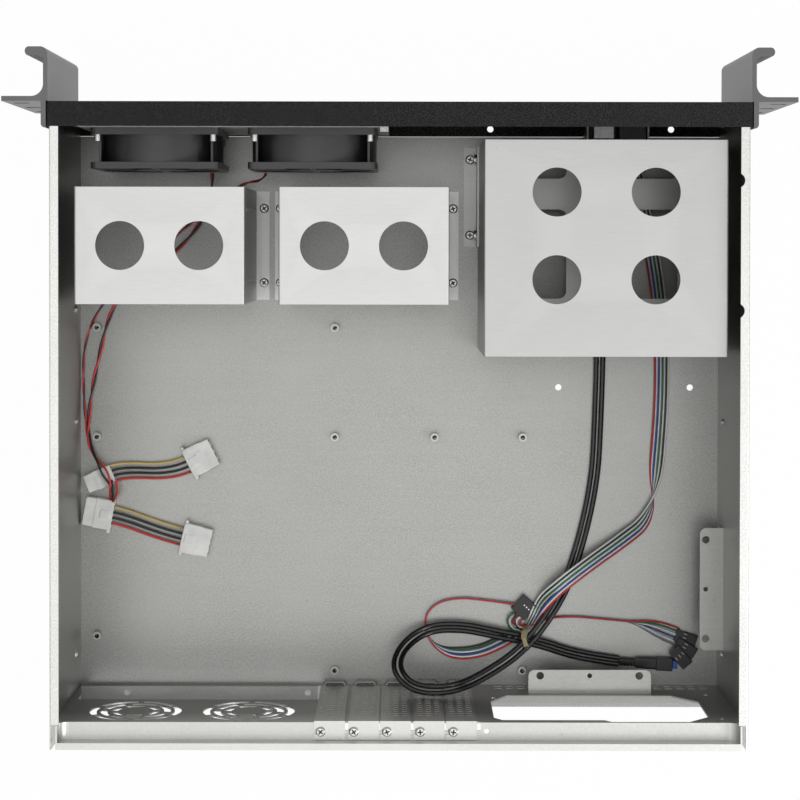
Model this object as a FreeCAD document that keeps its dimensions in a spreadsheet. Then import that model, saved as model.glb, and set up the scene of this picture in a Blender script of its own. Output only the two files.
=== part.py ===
import FreeCAD, Part
import math
import os

import Sketcher

# Empty 3U rackmount server case, in millimetres.
# Z is up. The front, with the rack ears and handles, faces -Y. The origin lies at the middle of
# the underside of the whole case, handles included.

SIZES = {
    # Whole case
    "case_width": 425,  # over the side walls
    "case_height": 132,
    "case_depth": 397.2,  # from the front of the rack ears to the rear edge
    "ear_reach": 28.8,  # of each rack ear beyond the side wall, for 482.6 over both
    "handle_reach": 30,  # of the handles, in front of the ears
    "sheet_gauge": 1,
    "lip_width": 5.6,  # of the folded top edges of the side walls
    "seam": 0.2,  # between two sheets that meet edge to edge
    "fit_gap": 0.3,  # between a piece and the sheet that it passes through
    # Front bezel: a shallow black pan
    "bezel_gauge": 1.5,
    "bezel_depth": 15,
    "tab_inset": 6,  # of the tray's tabs inside the bezel, from the top and the bottom
    "vent_slot_tall": 4,
    "vent_slot_pitch": 8,
    "vent_slot_wide": 68,
    "vent_slot_count": 9,
    # Rack ears and handles
    "ear_gauge": 3,
    "side_plate_gauge": 3,
    "side_plate_depth": 16,
    "web_gauge": 2.7,
    "web_inset": 1.1,  # of the grip's web from the outside of the bezel
    "hook_gauge": 5.5,
    "hook_outset": 11,
    "handle_round": 7.5,
    "ear_slot_wide": 10,
    "ear_slot_tall": 6.8,
    "ear_slot_inset": 8.75,  # of the slots' middle from the ear's end
    "ear_slot_pitch": 44.45,
    "ear_screw_head": 7,
    "ear_screw_shank": 4,
    "ear_screw_sink": 2,
    "ear_screw_inset": 8.2,
    # Rear panel
    "rear_setback": 14.9,  # of the rear wall's inner face from the rear edge
    "ledge_height": 121.5,
    "ledge_depth": 10.8,
    "ledge_inset": 3.6,  # of the ledge's ends from the outside of the side walls
    "ledge_round": 6,
    "foot_flange": 12,
    # I/O opening, its flange and the two fan grilles above it
    "io_centre_x": 127,
    "io_wide": 158.75,
    "io_tall": 44.45,
    "io_bottom": 6.9,
    "io_flange_x": 52.2,  # its end beside the first card slot
    "io_flange_wide": 152,
    "io_flange_reach": 8.5,
    "io_flange_lip": 3.2,
    "io_hole_pitch": 116.3,
    "io_hole_x": 116.85,
    "io_hole_bore": 4,
    "grille_x": 129.5,
    "grille_pitch": 71,
    "grille_z": 88,
    "grille_first_ring": 11,
    "grille_ring_width": 4.4,
    "grille_ring_pitch": 6.7,
    "grille_rings": 3,
    "grille_arcs": 6,
    "grille_bar": 3.2,
    "grille_swirl": 17,  # degrees from ring to ring
    # Power supply opening and its fixings
    "psu_left": -58.9,
    "psu_right": -192,
    "psu_low": 38,
    "psu_high": 119,
    "psu_bottom": 30,  # underside of the power supply that the case takes
    "psu_near_z": 12,  # the corner cuts of the opening, across and up
    "psu_far_x": 13.5,
    "psu_far_z": 15,
    "psu_foot_x": 15,
    "psu_foot_z": 19,
    "psu_toe_x": 10.5,
    "psu_step_from": 68,  # of the shallow step in the upper edge
    "psu_step_to": 72,
    "psu_step": 5,
    "psu_hole_x": -61.2,
    "psu_face_wide": 138,  # between the screws of the standard power supply's face
    "psu_face_low": 6,
    "psu_face_near": 16,
    "psu_face_high": 80,
    "psu_hole_bore": 3.8,
    "psu_vent_x": -63,
    "psu_vent_pitch": 7.5,
    "psu_vent_wide": 5,
    "psu_vent_tall": 2.2,
    "psu_vent_low": 7,
    "psu_vent_row": 7,
    "psu_vent_count": 19,
    # Card slots
    "slot_count": 5,
    "slot_pitch": 20.32,
    "slot_first_x": 42.4,
    "slot_open_wide": 14.6,
    "slot_open_low": 12,
    "slot_notch_wide": 2.6,
    "slot_notch_deep": 4.9,
    "slot_notch_x": -10.1,
    "cover_wide": 18.4,
    "cover_tab_wide": 19,
    "cover_tab_depth": 10.5,
    "cover_low": 4.5,
    "cover_tongue": 10.2,
    "cover_tongue_tall": 5,
    "cover_taper": 3.5,
    "cover_slot_wide": 3.4,
    "cover_slot_tall": 1.8,
    "cover_slot_pitch": 6,
    "cover_slot_row": 5.6,
    "cover_slot_low": 27,
    "cover_rows": 14,
    "cover_screw_x": 5.45,
    "cover_slot_play": 0.6,  # more room at the inner end of each cover's screw slot
    "cover_screw_y": 5.5,  # behind the rear wall's inner face
    "pocket_wide": 16,
    "pocket_tip": 11.5,
    "pocket_reach": 3.2,
    "pocket_low": 4,
    "pocket_tall": 5,
    "pocket_gauge": 0.8,
    # Screws
    "screw_head": 6.2,
    "screw_head_tall": 1.8,
    "screw_shank": 3,
    "screw_length": 6,
    # Board standoffs, on the full-size board's hole grid
    "standoff_x": 200.2,
    "standoff_y": 10.2,  # in front of the rear wall
    "standoff_tall": 6.5,
    "standoff_flats": 5.6,
    "standoff_bore": 3,
    # Hard-disk brackets
    "disk_wide": 104.4,
    "disk_long": 71.8,
    "disk_top": 119.2,
    "disk_gauge": 1.2,
    "disk_y": -93.2,
    "disk_outer_x": 147,
    "disk_inner_x": 21.8,
    "disk_foot": 8.6,
    "disk_screw_out": 5,
    "disk_screw_pitch": 49.2,
    "finger_bore": 30,
    "disk_bore_pitch": 48.4,
    "drive_hole": 3.6,
    "drive_hole_pitch": 44.45,
    "drive_row": 25.4,
    "drive_row_low": 25,
    "drive_rows": 4,
    # Drive cage for the two front bays
    "cage_wide": 149.5,
    "cage_x": -126.5,
    "cage_front": -158.3,
    "cage_long": 132.7,
    "cage_top": 119.4,
    "cage_gauge": 1.2,
    "cage_bore_x": 60.6,
    "cage_bore_y": 53.6,
    "cage_bore_centre": -99.5,
    "shelf_height": 35,
    "shelf_lip": 8,
    "window_wide": 47.7,
    "window_pitch": 72.2,
    "window_x": -120.4,
    "window_front": -150,
    "window_mid_front": -136.9,
    "window_mid_rear": -117,
    "window_rear": -59.1,
    "window_round": 5,
    "angle_long": 65.6,
    "angle_front": -158.1,
    "angle_foot": 9.2,
    "angle_leg": 24,
    "angle_screw_pitch": 49.9,
    "angle_screw_out": 5.2,
    # Power supply brackets
    "support_long": 80,
    "support_flange": 15.2,
    "support_leg": 18,
    "support_gauge": 1.2,
    "support_round": 4,
    "support_bore": 5,
    "support_bore_pitch": 64.7,
    "support_pilot": 3.2,
    "support_hole_in": 11.4,
    "support_rear_x": -124.6,
    "support_side_y": 130.5,
    # Fans
    "fan_size": 80,
    "fan_depth": 25,
    "fan_flange": 4,
    "fan_bore": 76,
    "fan_shell": 1.3,
    "fan_rib_x": 34,
    "fan_rib_start": 18,
    "fan_rib_end": 8,
    "motor_gauge": 2.4,
    "post_length": 15,
    "post_bore": 3.6,
    "spoke_wide": 4,
    "rotor_gap": 1.2,
    "hub_wall": 1.6,
    "blade_root": 6,
    "blade_tip": 12.5,
    "blade_radius": 34.5,
    "blade_low": 4,
    "blade_high": 20,
    "fan_hole_pitch": 71.5,
    "fan_hole": 4.4,
    "fan_hub": 36,
    "fan_blades": 7,
    "fan_blade_gauge": 1.4,
    "fan_spokes": 4,
    "fan_shaft": 3,
    "fan_outer_x": 151.2,
    "fan_inner_x": 54,
    "fan_screw": 4,
    "fan_screw_tip": 4,
    "fan_plate_left": 197,
    "fan_plate_right": 7,
    "fan_plate_low": 12,
    "fan_plate_drop": 12.5,  # of its top below the top of the case
    "fan_plate_gap": 0.2,
    "fan_tab_drop": 12,  # of the tab's underside below the plate's top
    "fan_tab_wide": 5,
    "fan_tab_gauge": 2.5,
    "fan_tab_tall": 5,
    # Front openings and controls
    "bay_wide": 148,
    "bay_tall": 41.4,
    "bay_rib": 0.9,
    "bay_screw_up": 10,
    "bay_screw_pitch": 79.25,
    "bay_cover_lip": 1.2,
    "io_block_x": -141.7,
    "io_block_wide": 40.4,
    "io_block_low": 4,
    "io_block_tall": 28,
    "io_block_depth": 18.5,
    "board_gauge": 1.6,
    "can_short": 2,
    "can_wall": 0.6,
    "port_depth": 9,
    "switch_side": 4,
    "switch_back": 6,
    "switch_depth": 10,
    "button_cap": 5,
    "usb_x": -133.6,
    "usb_wide": 12.6,
    "usb_tall": 14.6,
    "button_x": -147.3,
    "button_bore": 6,
    "button_z": 22,
    "button_proud": 1.6,
    "button_length": 10,
    "reset_x": -156.2,
    "reset_bore": 3.4,
    "reset_z": 22,
    "lamp_z": 12,
    "lamp_bore": 3,
    # Loose leads and the plugs on them
    "usb_lead": 4,
    "usb_lead_pitch": 4.3,  # between the two leads of the pair
    "panel_bundle": 4.2,
    "small_bundle": 2.6,
    "fan_pair": 2.6,
    "fan_wire": 1.8,
    "power_wire": 1.8,
    "power_wire_pitch": 3.6,
    "power_wire_straight": 12.5,  # of each end, up to the corner of its bend
    "power_wire_sag": 1,
    "power_plug_long": 19,
    "power_plug_wide": 20,
    "power_plug_narrow": 13,
    "power_plug_tall": 8,
    "power_plug_nose": 7,  # length of the part that goes into another plug
    "power_nose_inset": 0.6,  # of that part from the plug's outside
    "plug_low": 1.3,  # underside of the plugs that lie on the floor
    "header_long": 12.5,
    "header_wide": 12,
    "header_tall": 6,
    "usb_plug_long": 25.5,
    "usb_plug_wide": 8.8,
    "usb_plug_tall": 6.6,
    "usb_relief_long": 10,
    "usb_relief_wide": 6.4,
    "usb_relief_tall": 5.4,
    "usb_mouth_long": 3.2,
    "usb_mouth_wide": 5.4,
    "usb_mouth_tall": 4.6,
    "cluster_plug_long": 14,
    "cluster_plug_wide": 6.2,
    "cluster_plug_tall": 3,
    "cluster_plug_step": 2.6,  # each plug lies on the one before
    "tie_wide": 3.6,
    "tie_gauge": 1,
    "tie_long": 15.4,
    "tie_tall": 16.6,
    "tie_low": 4.2,
    # Rivets of the side walls
    "rivet_head": 5.4,
    "rivet_tall": 1.4,
    "rivet_z": 27,
}
# Heights and depths of single features that repeat on both sides
RIVET_Y = (-51.7, 21.6, 173.8)
FLOOR_HOLE_X = (-105.6, -192.9)
FLOOR_HOLE_Y = 0.6
FLOOR_HOLE_BORE = 4.2
BEZEL_HOLE_X = (-60, -179.8, 60, 179.8)
BEZEL_HOLE_INSET = 10  # behind the front face
# Holes of the full-size board, sideways and backwards from its rear hole at the ports' side
BOARD_HOLES = (
    (157.48, 0),
    (281.94, 0),
    (0, -22.86),
    (0, -154.94),
    (157.48, -154.94),
    (223.52, -154.94),
    (281.94, -154.94),
    (0, -227.33),
    (157.48, -227.33),
)
NOTCH_Y = (-133.2, -54.1)
NOTCH_BORE = 9
NOTCH_OUTSET = 2.1

# Routes of the leads: the points that each one's straight runs go through
USB_ROUTE = (
    (-133.6, -163.9, 11),
    (-133.2, -130, 10),
    (-131.8, -82, 3.9),
    (-133.2, -30, 3.5),
    (-131.8, 20, 3.5),
    (-129.6, 66, 3.5),
    (-116, 121, 3.6),
    (-101.5, 149, 9.2),
    (-80.5, 173.5, 18.2),
    (-50.7, 188.9, 37),
    (-30.2, 193, 52.6),
    (-8.6, 192.6, 46.6),
    (2.7, 181.7, 36),
    (-2, 169.8, 21.7),
    (-18.6, 159.8, 8.7),
    (-41.7, 158.8, 8.6),
    (-63.6, 163.3, 9),
    (-93, 169.4, 7.2),
    (-118.5, 178.8, 4),
    (-146, 182.3, 4.6),
)
PANEL_ROUTE = (
    (-152, -163.1, 14),
    (-156, -134, 13),
    (-167, -92, 5),
    (-173.6, -46, 3.6),
    (-174.2, 4, 3.4),
    (-171.5, 46, 3.4),
    (-167.2, 87.2, 3.6),
    (-146.1, 102.5, 9),
    (-125.2, 116.3, 14.5),
    (-102.8, 133.6, 14.5),
    (-92.2, 146, 12.4),
    (-87, 158.6, 3.6),
)
LOOP_ROUTE = (
    (-77.4, 144.6, 4.2),
    (-58.5, 142.1, 2.6),
    (-39.2, 140.2, 2.4),
    (-23.2, 144.2, 2.4),
    (-16, 155.5, 2.4),
    (-20.6, 170.9, 2.4),
    (-35.3, 178.2, 2.4),
    (-53.9, 176.8, 2.4),
    (-70.5, 168.8, 2.5),
    (-86, 160.4, 2.8),
)
BRANCH_ROUTE = (
    (-87.2, 158.6, 2.9),
    (-97.1, 154.1, 2.4),
    (-114.4, 152.6, 2.4),
    (-133.7, 154.2, 2.4),
    (-152.9, 156, 2.4),
    (-169.6, 159.9, 2.6),
    (-184.4, 166.2, 3.2),
)
FAN_ROUTES = (
    (
        (122, -139.9, 29.5),
        (122.6, -131.5, 21),
        (127, -117, 7),
        (139, -98, 2.6),
        (158, -81, 2.6),
        (180.5, -68, 2.6),
        (192.6, -47, 2.6),
        (197.9, -26, 2.6),
        (203.6, 0, 2.6),
        (206.6, 22, 2.6),
        (206.2, 40, 3.4),
        (195.5, 54.6, 12.4),
        (189.6, 66, 13),
        (190.6, 75.6, 7.4),
    ),
    (
        (86.5, -139.9, 38),
        (89.5, -135.2, 30),
        (101, -134.8, 18),
        (114, -127, 7),
        (131, -114.5, 2.4),
        (155, -94, 2.4),
        (182.5, -72.5, 2.4),
        (199.6, -51, 2.4),
        (209, -30, 2.4),
        (210, -6, 2.4),
        (210, 16, 2.4),
        (209.6, 37, 2.4),
        (204.8, 50, 4.2),
        (200.8, 57.4, 6),
    ),
)
USB_PLUG_ANGLE = 176.8
# The four power plugs: middle, angle of the way their wires leave, and whether the narrow kind
POWER_PLUGS = (
    (198.5, 61.5, 202.3, True),
    (131.5, 47.2, 26.6, False),
    (199.2, 84, 169.6, False),
    (134.7, 102, -13.1, False),
)
HEADER_PLACE = (-82.9, 146.4, 47)
CLUSTER_PLACES = ((-190.6, 167.4, 162), (-190.2, 173.6, 148), (-186.6, 179, 131))
# The cable tie stands where the pair from the front ports crosses itself: middle and angle
TIE_PLACE = (-85.2, 167.9, 114)

doc = FreeCAD.newDocument("rackmount_case")
sheet = doc.addObject("Spreadsheet::Sheet", "Sizes")
NODES = []
X_AXIS = FreeCAD.Vector(1, 0, 0)
Y_AXIS = FreeCAD.Vector(0, 1, 0)
Z_AXIS = FreeCAD.Vector(0, 0, 1)
# How a sketch lies in each plane, and the way along which that plane's shapes are extruded
TURNS = {
    "XY": FreeCAD.Rotation(),
    "XZ": FreeCAD.Rotation(X_AXIS, 90),
    "YZ": FreeCAD.Rotation(FreeCAD.Vector(1, 1, 1), 120),
}
NORMALS = {"XY": Z_AXIS, "XZ": Y_AXIS, "YZ": X_AXIS}
LEVELS = {"XY": "z", "XZ": "y", "YZ": "x"}
ROD_TURNS = {
    "x": FreeCAD.Rotation(Y_AXIS, 90),
    "y": FreeCAD.Rotation(X_AXIS, -90),
    "z": FreeCAD.Rotation(),
}


class Size:
    """A length together with the sheet expression that gives it."""

    def __init__(self, number, text):
        self.number = number
        self.text = text

    def __add__(self, other):
        other = as_size(other)
        return Size(self.number + other.number, f"({self.text} + {other.text})")

    def __sub__(self, other):
        other = as_size(other)
        return Size(self.number - other.number, f"({self.text} - {other.text})")

    def __mul__(self, other):
        other = as_size(other)
        return Size(self.number * other.number, f"({self.text} * {other.text})")

    def __truediv__(self, other):
        other = as_size(other)
        return Size(self.number / other.number, f"({self.text} / {other.text})")

    def __neg__(self):
        return Size(-self.number, f"(0 - {self.text})")

    def __radd__(self, other):
        return as_size(other) + self

    def __rsub__(self, other):
        return as_size(other) - self

    def __rmul__(self, other):
        return as_size(other) * self


def as_size(value):
    """A plain number as a Size."""
    if isinstance(value, Size):
        return value
    return Size(float(value), f"{float(value):.6f}")


def fill_sheet():
    """Writes every driving size into the sheet, under its own alias."""
    for row, (alias, number) in enumerate(SIZES.items(), start=1):
        sheet.set(f"A{row}", str(number))
        sheet.setAlias(f"A{row}", alias)
    doc.recompute()


class Sheet:
    """Gives each alias of the sheet as a Size: S.case_width."""

    def __getattr__(self, alias):
        return Size(float(SIZES[alias]), f"Sizes.{alias}")


S = Sheet()


def bind(item, name, value):
    """Ties a property to its expression."""
    item.setExpression(name, as_size(value).text)


def place(item, x=0, y=0, z=0):
    """Ties the three coordinates of an item's placement."""
    for axis, value in zip("xyz", (x, y, z)):
        bind(item, f"Placement.Base.{axis}", value)


def pin(sketch, geometry, point, x, y):
    """Ties one point of a sketch to its two distances from the sketch's origin."""
    for kind, value in (("DistanceX", as_size(x)), ("DistanceY", as_size(y))):
        rule = Sketcher.Constraint(kind, -1, 1, geometry, point, value.number)
        index = sketch.addConstraint(rule)
        sketch.setExpression(f"Constraints[{index}]", value.text)


def direction(start, end):
    """The unit step along an axis-aligned edge."""
    step_x = as_size(end[0]).number - as_size(start[0]).number
    step_y = as_size(end[1]).number - as_size(start[1]).number
    length = math.hypot(step_x, step_y)
    return round(step_x / length, 6), round(step_y / length, 6)


def draw_outline(sketch, points, closed=True):
    """Straight edges through the points. A point with a third value has a corner of that radius."""
    count = len(points)
    corners = []
    for index, point in enumerate(points):
        if len(point) == 2:
            corners.append((point, point, None))
            continue
        radius = as_size(point[2])
        arriving = direction(points[index - 1], point)
        leaving = direction(point, points[(index + 1) % count])
        before = (point[0] - radius * arriving[0], point[1] - radius * arriving[1])
        after = (point[0] + radius * leaving[0], point[1] + radius * leaving[1])
        middle = (before[0] + radius * leaving[0], before[1] + radius * leaving[1])
        corners.append((before, after, (middle, radius)))
    edges = count if closed else count - 1
    lines = []
    for index in range(edges):
        start = corners[index][1]
        end = corners[(index + 1) % count][0]
        line = sketch.addGeometry(Part.LineSegment(spot(start), spot(end)), False)
        lines.append(line)
        pin(sketch, line, 1, *start)
        if not closed and index == edges - 1:
            pin(sketch, line, 2, *end)
    for index, (before, after, arc) in enumerate(corners):
        if not closed and index in (0, count - 1):
            continue
        arriving_line = lines[index - 1]
        if arc is None:
            sketch.addConstraint(Sketcher.Constraint("Coincident", arriving_line, 2, lines[index], 1))
            continue
        pin(sketch, arriving_line, 2, *before)
        add_corner(sketch, arriving_line, lines[index], before, after, arc)


def spot(point):
    """A sketch point's numbers as a vector."""
    return FreeCAD.Vector(as_size(point[0]).number, as_size(point[1]).number, 0)


def add_corner(sketch, arriving_line, leaving_line, before, after, arc):
    """A round corner between two pinned line ends."""
    middle, radius = arc
    centre = spot(middle)
    outwards = (spot(before) - centre) + (spot(after) - centre)
    outwards.normalize()
    through = centre + outwards * radius.number
    curve = Part.Arc(spot(before), through, spot(after))
    index = sketch.addGeometry(curve, False)
    first, last = (1, 2)
    if (sketch.getPoint(index, 1) - spot(before)).Length > 0.001:
        first, last = (2, 1)
    sketch.addConstraint(Sketcher.Constraint("Coincident", arriving_line, 2, index, first))
    sketch.addConstraint(Sketcher.Constraint("Coincident", leaving_line, 1, index, last))
    rule = sketch.addConstraint(Sketcher.Constraint("Radius", index, radius.number))
    sketch.setExpression(f"Constraints[{rule}]", radius.text)


def draw_circle(sketch, x, y, bore):
    """A circle pinned at its centre."""
    bore = as_size(bore)
    circle = Part.Circle(spot((x, y)), Z_AXIS, bore.number / 2)
    index = sketch.addGeometry(circle, False)
    pin(sketch, index, 3, x, y)
    rule = sketch.addConstraint(Sketcher.Constraint("Diameter", index, bore.number))
    sketch.setExpression(f"Constraints[{rule}]", bore.text)


def plane_sketch(name, plane, level):
    """An empty sketch in a plane of the case's own frame."""
    sketch = doc.addObject("Sketcher::SketchObject", name + "_sketch")
    sketch.Placement = FreeCAD.Placement(FreeCAD.Vector(), TURNS[plane])
    bind(sketch, f"Placement.Base.{LEVELS[plane]}", level)
    return sketch


def extrude(name, base, plane, length):
    """A solid from a flat shape, along its plane's normal."""
    solid = doc.addObject("Part::Extrusion", name)
    solid.Base = base
    solid.DirMode = "Custom"
    solid.Dir = NORMALS[plane]
    solid.Solid = True
    bind(solid, "LengthFwd", length)
    return solid


def prism(name, plane, points, level, length):
    """A solid of one closed outline."""
    sketch = plane_sketch(name, plane, level)
    draw_outline(sketch, points)
    return extrude(name, sketch, plane, length)


def fold(name, plane, points, gauge, level, length):
    """Bent sheet: an open line of one face, thickened by the gauge and extruded.

    A positive gauge lies on the line's left, seen with the plane's first axis to the right."""
    sketch = plane_sketch(name, plane, level)
    draw_outline(sketch, points, closed=False)
    section = doc.addObject("Part::Offset2D", name + "_section")
    section.Source = sketch
    section.Mode = "Skin"
    section.Join = "Arc"
    section.Fill = True
    bind(section, "Value", gauge if plane == "XZ" else -gauge)
    return extrude(name, section, plane, length)


def block(name, x, y, z, long_x, long_y, long_z):
    """A box from its lowest corner."""
    box = doc.addObject("Part::Box", name)
    bind(box, "Length", long_x)
    bind(box, "Width", long_y)
    bind(box, "Height", long_z)
    place(box, x, y, z)
    return box


def rod(name, axis, x, y, z, bore, length):
    """A round bar that starts at a point and runs along +X, +Y or +Z."""
    bar = doc.addObject("Part::Cylinder", name)
    bar.Placement = FreeCAD.Placement(FreeCAD.Vector(), ROD_TURNS[axis])
    bind(bar, "Radius", as_size(bore) / 2)
    bind(bar, "Height", length)
    place(bar, x, y, z)
    return bar


def group(name, items):
    """Several shapes as one, left separate."""
    compound = doc.addObject("Part::Compound", name)
    compound.Links = items
    return compound


def fuse(name, items):
    """Several shapes joined into one solid."""
    union = doc.addObject("Part::MultiFuse", name)
    union.Shapes = items
    union.Refine = True
    return union


def cut(name, base, tools):
    """The base with every tool taken out of it."""
    result = doc.addObject("Part::Cut", name)
    result.Base = base
    result.Tool = tools[0] if len(tools) == 1 else group(name + "_tools", tools)
    return result


def mirror(name, item):
    """The same piece on the other side of the case."""
    copy = doc.addObject("Part::Mirroring", name)
    copy.Source = item
    copy.Base = FreeCAD.Vector(0, 0, 0)
    copy.Normal = X_AXIS
    return copy


def keep(item, label):
    """Makes the item a node under its own name."""
    item.Label = label
    NODES.append(item)
    return item


def new_body(label):
    """A PartDesign body that is a node, and its origin planes and axes by role."""
    body = doc.addObject("PartDesign::Body", label)
    roles = {item.Role: item for item in body.Origin.OriginFeatures}
    return body, roles


def body_sketch(body, roles, plane, name, level=0):
    """An empty sketch on one of the body's own origin planes."""
    sketch = body.newObject("Sketcher::SketchObject", name)
    sketch.AttachmentSupport = [(roles[plane], "")]
    sketch.MapMode = "FlatFace"
    bind(sketch, "AttachmentOffset.Base.z", level)
    return sketch


def pad(body, name, sketch, length, backwards=False):
    """A pad of a body's sketch."""
    feature = body.newObject("PartDesign::Pad", name)
    feature.Profile = sketch
    feature.Reversed = backwards
    bind(feature, "Length", length)
    return feature


def pocket_through(body, name, sketch):
    """A pocket through everything, both ways from its sketch."""
    feature = body.newObject("PartDesign::Pocket", name)
    feature.Profile = sketch
    feature.Type = "ThroughAll"
    feature.SideType = "Symmetric"
    return feature


# Levels and faces that several pieces share
half_width = S.case_width / 2
front = (S.handle_reach - S.case_depth) / 2
rear = (S.handle_reach + S.case_depth) / 2
face = front + S.ear_gauge
bezel_rear = face + S.bezel_depth
tray_front = bezel_rear + S.seam
wall_inside = half_width - S.sheet_gauge
bezel_half = half_width + S.seam + S.bezel_gauge
ear_end = half_width + S.ear_reach
fan_z = S.case_height / 2
floor = S.sheet_gauge
rear_wall = rear - S.rear_setback
fan_plate_y = bezel_rear - S.fan_plate_gap


def both_sides(name, x, y, z, long_x, long_y, long_z):
    """A box and its mirror image, the box starting at x and running to +X."""
    right = block(name + "_plus", x, y, z, long_x, long_y, long_z)
    left = block(name + "_minus", -x - long_x, y, z, long_x, long_y, long_z)
    return [right, left]


def across(name, y, z, bore):
    """A round tool through the whole width of the case."""
    margin = 5
    return rod(name, "x", -half_width - margin, y, z, bore, S.case_width + 2 * margin)


ear_screw_y = face + S.ear_screw_inset
EAR_HEIGHTS = [S.case_height / 2 + step * S.ear_slot_pitch for step in (-1, 0, 1)]


def make_tray():
    """Floor and side walls of one folded sheet, with turned-in top lips and two tabs for the bezel."""
    lip_edge = half_width - S.lip_width
    under_lip = S.case_height - S.sheet_gauge
    section = [
        (lip_edge, under_lip),
        (wall_inside, under_lip),
        (wall_inside, floor),
        (-wall_inside, floor),
        (-wall_inside, under_lip),
        (-lip_edge, under_lip),
    ]
    shell = fold("tray_shell", "XZ", section, S.sheet_gauge, tray_front, rear - tray_front)
    tab_front = face + S.bezel_gauge + S.fit_gap
    tab_tall = S.case_height - 2 * S.tab_inset
    tabs = both_sides(
        "tray_tab", wall_inside, tab_front, S.tab_inset, S.sheet_gauge, tray_front - tab_front, tab_tall
    )
    body = fuse("tray_body", [shell] + tabs)
    lip_end = rear_wall - S.fit_gap
    tools = both_sides(
        "lip_end", lip_edge - 1, lip_end, under_lip, wall_inside - lip_edge + 1, rear - lip_end + 1, 2 * S.sheet_gauge
    )
    for index, height in enumerate(EAR_HEIGHTS):
        tools.append(across(f"tray_screw_hole_{index}", ear_screw_y, height, S.ear_screw_shank + S.fit_gap))
    for index, x in enumerate(FLOOR_HOLE_X):
        tools.append(rod(f"floor_hole_{index}", "z", x, FLOOR_HOLE_Y, -1, FLOOR_HOLE_BORE, 3))
    for index, y in enumerate(NOTCH_Y):
        notch_x = -lip_edge + NOTCH_OUTSET
        tools.append(rod(f"lip_notch_{index}", "z", notch_x, y, under_lip - 1, NOTCH_BORE, 3))
    for index, y in enumerate(RIVET_Y):
        tools.append(across(f"tray_rivet_hole_{index}", y, S.rivet_z, S.rivet_head / 2 + S.fit_gap))
    foot_places = disk_screw_places(S.disk_outer_x) + disk_screw_places(S.disk_inner_x)
    for side in (-1, 1):
        foot_x = S.cage_x + side * (S.cage_wide / 2 + S.angle_screw_out)
        foot_places += [(foot_x, y) for y in angle_screw_ys()]
    for index, (x, y) in enumerate(foot_places):
        tools.append(rod(f"tray_foot_hole_{index}", "z", x, y, -1, S.screw_shank + S.fit_gap, 3))
    keep(cut("chassis_tray", body, tools), "chassis_tray")


def slot_x(index):
    """The middle of a card slot."""
    return S.slot_first_x - index * S.slot_pitch


def grille_tools(number):
    """The curved slots of one fan grille: rings crossed by straight bars, turned a little from ring to ring."""
    centre_x = S.grille_x + S.grille_pitch / 2 * (1 if number == 0 else -1)
    start = rear_wall - 1
    depth = S.sheet_gauge + 2
    rings = []
    for ring in range(SIZES["grille_rings"]):
        name = f"grille_{number}_ring_{ring}"
        inner = S.grille_first_ring + ring * S.grille_ring_pitch
        outer = inner + S.grille_ring_width
        disc = rod(name + "_disc", "y", centre_x, start, S.grille_z, 2 * outer, depth)
        core = rod(name + "_core", "y", centre_x, start - 1, S.grille_z, 2 * inner, depth + 2)
        bars = []
        for bar in range(SIZES["grille_arcs"]):
            angle = bar * 360 / SIZES["grille_arcs"] + ring * SIZES["grille_swirl"]
            bars.append(grille_bar(f"{name}_bar_{bar}", centre_x, start - 1, angle, outer + 1, depth + 2))
        rings.append(cut(name, disc, [core] + bars))
    return rings


def grille_bar(name, x, y, angle, length, depth):
    """A straight bar from the middle of a grille outwards."""
    bar = block(name, x, y, S.grille_z, length, depth, S.grille_bar)
    turn = FreeCAD.Rotation(Y_AXIS, angle)
    bar.Placement = FreeCAD.Placement(bar.Placement.Base, turn)
    place(bar, x, y, S.grille_z)
    return bar


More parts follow.
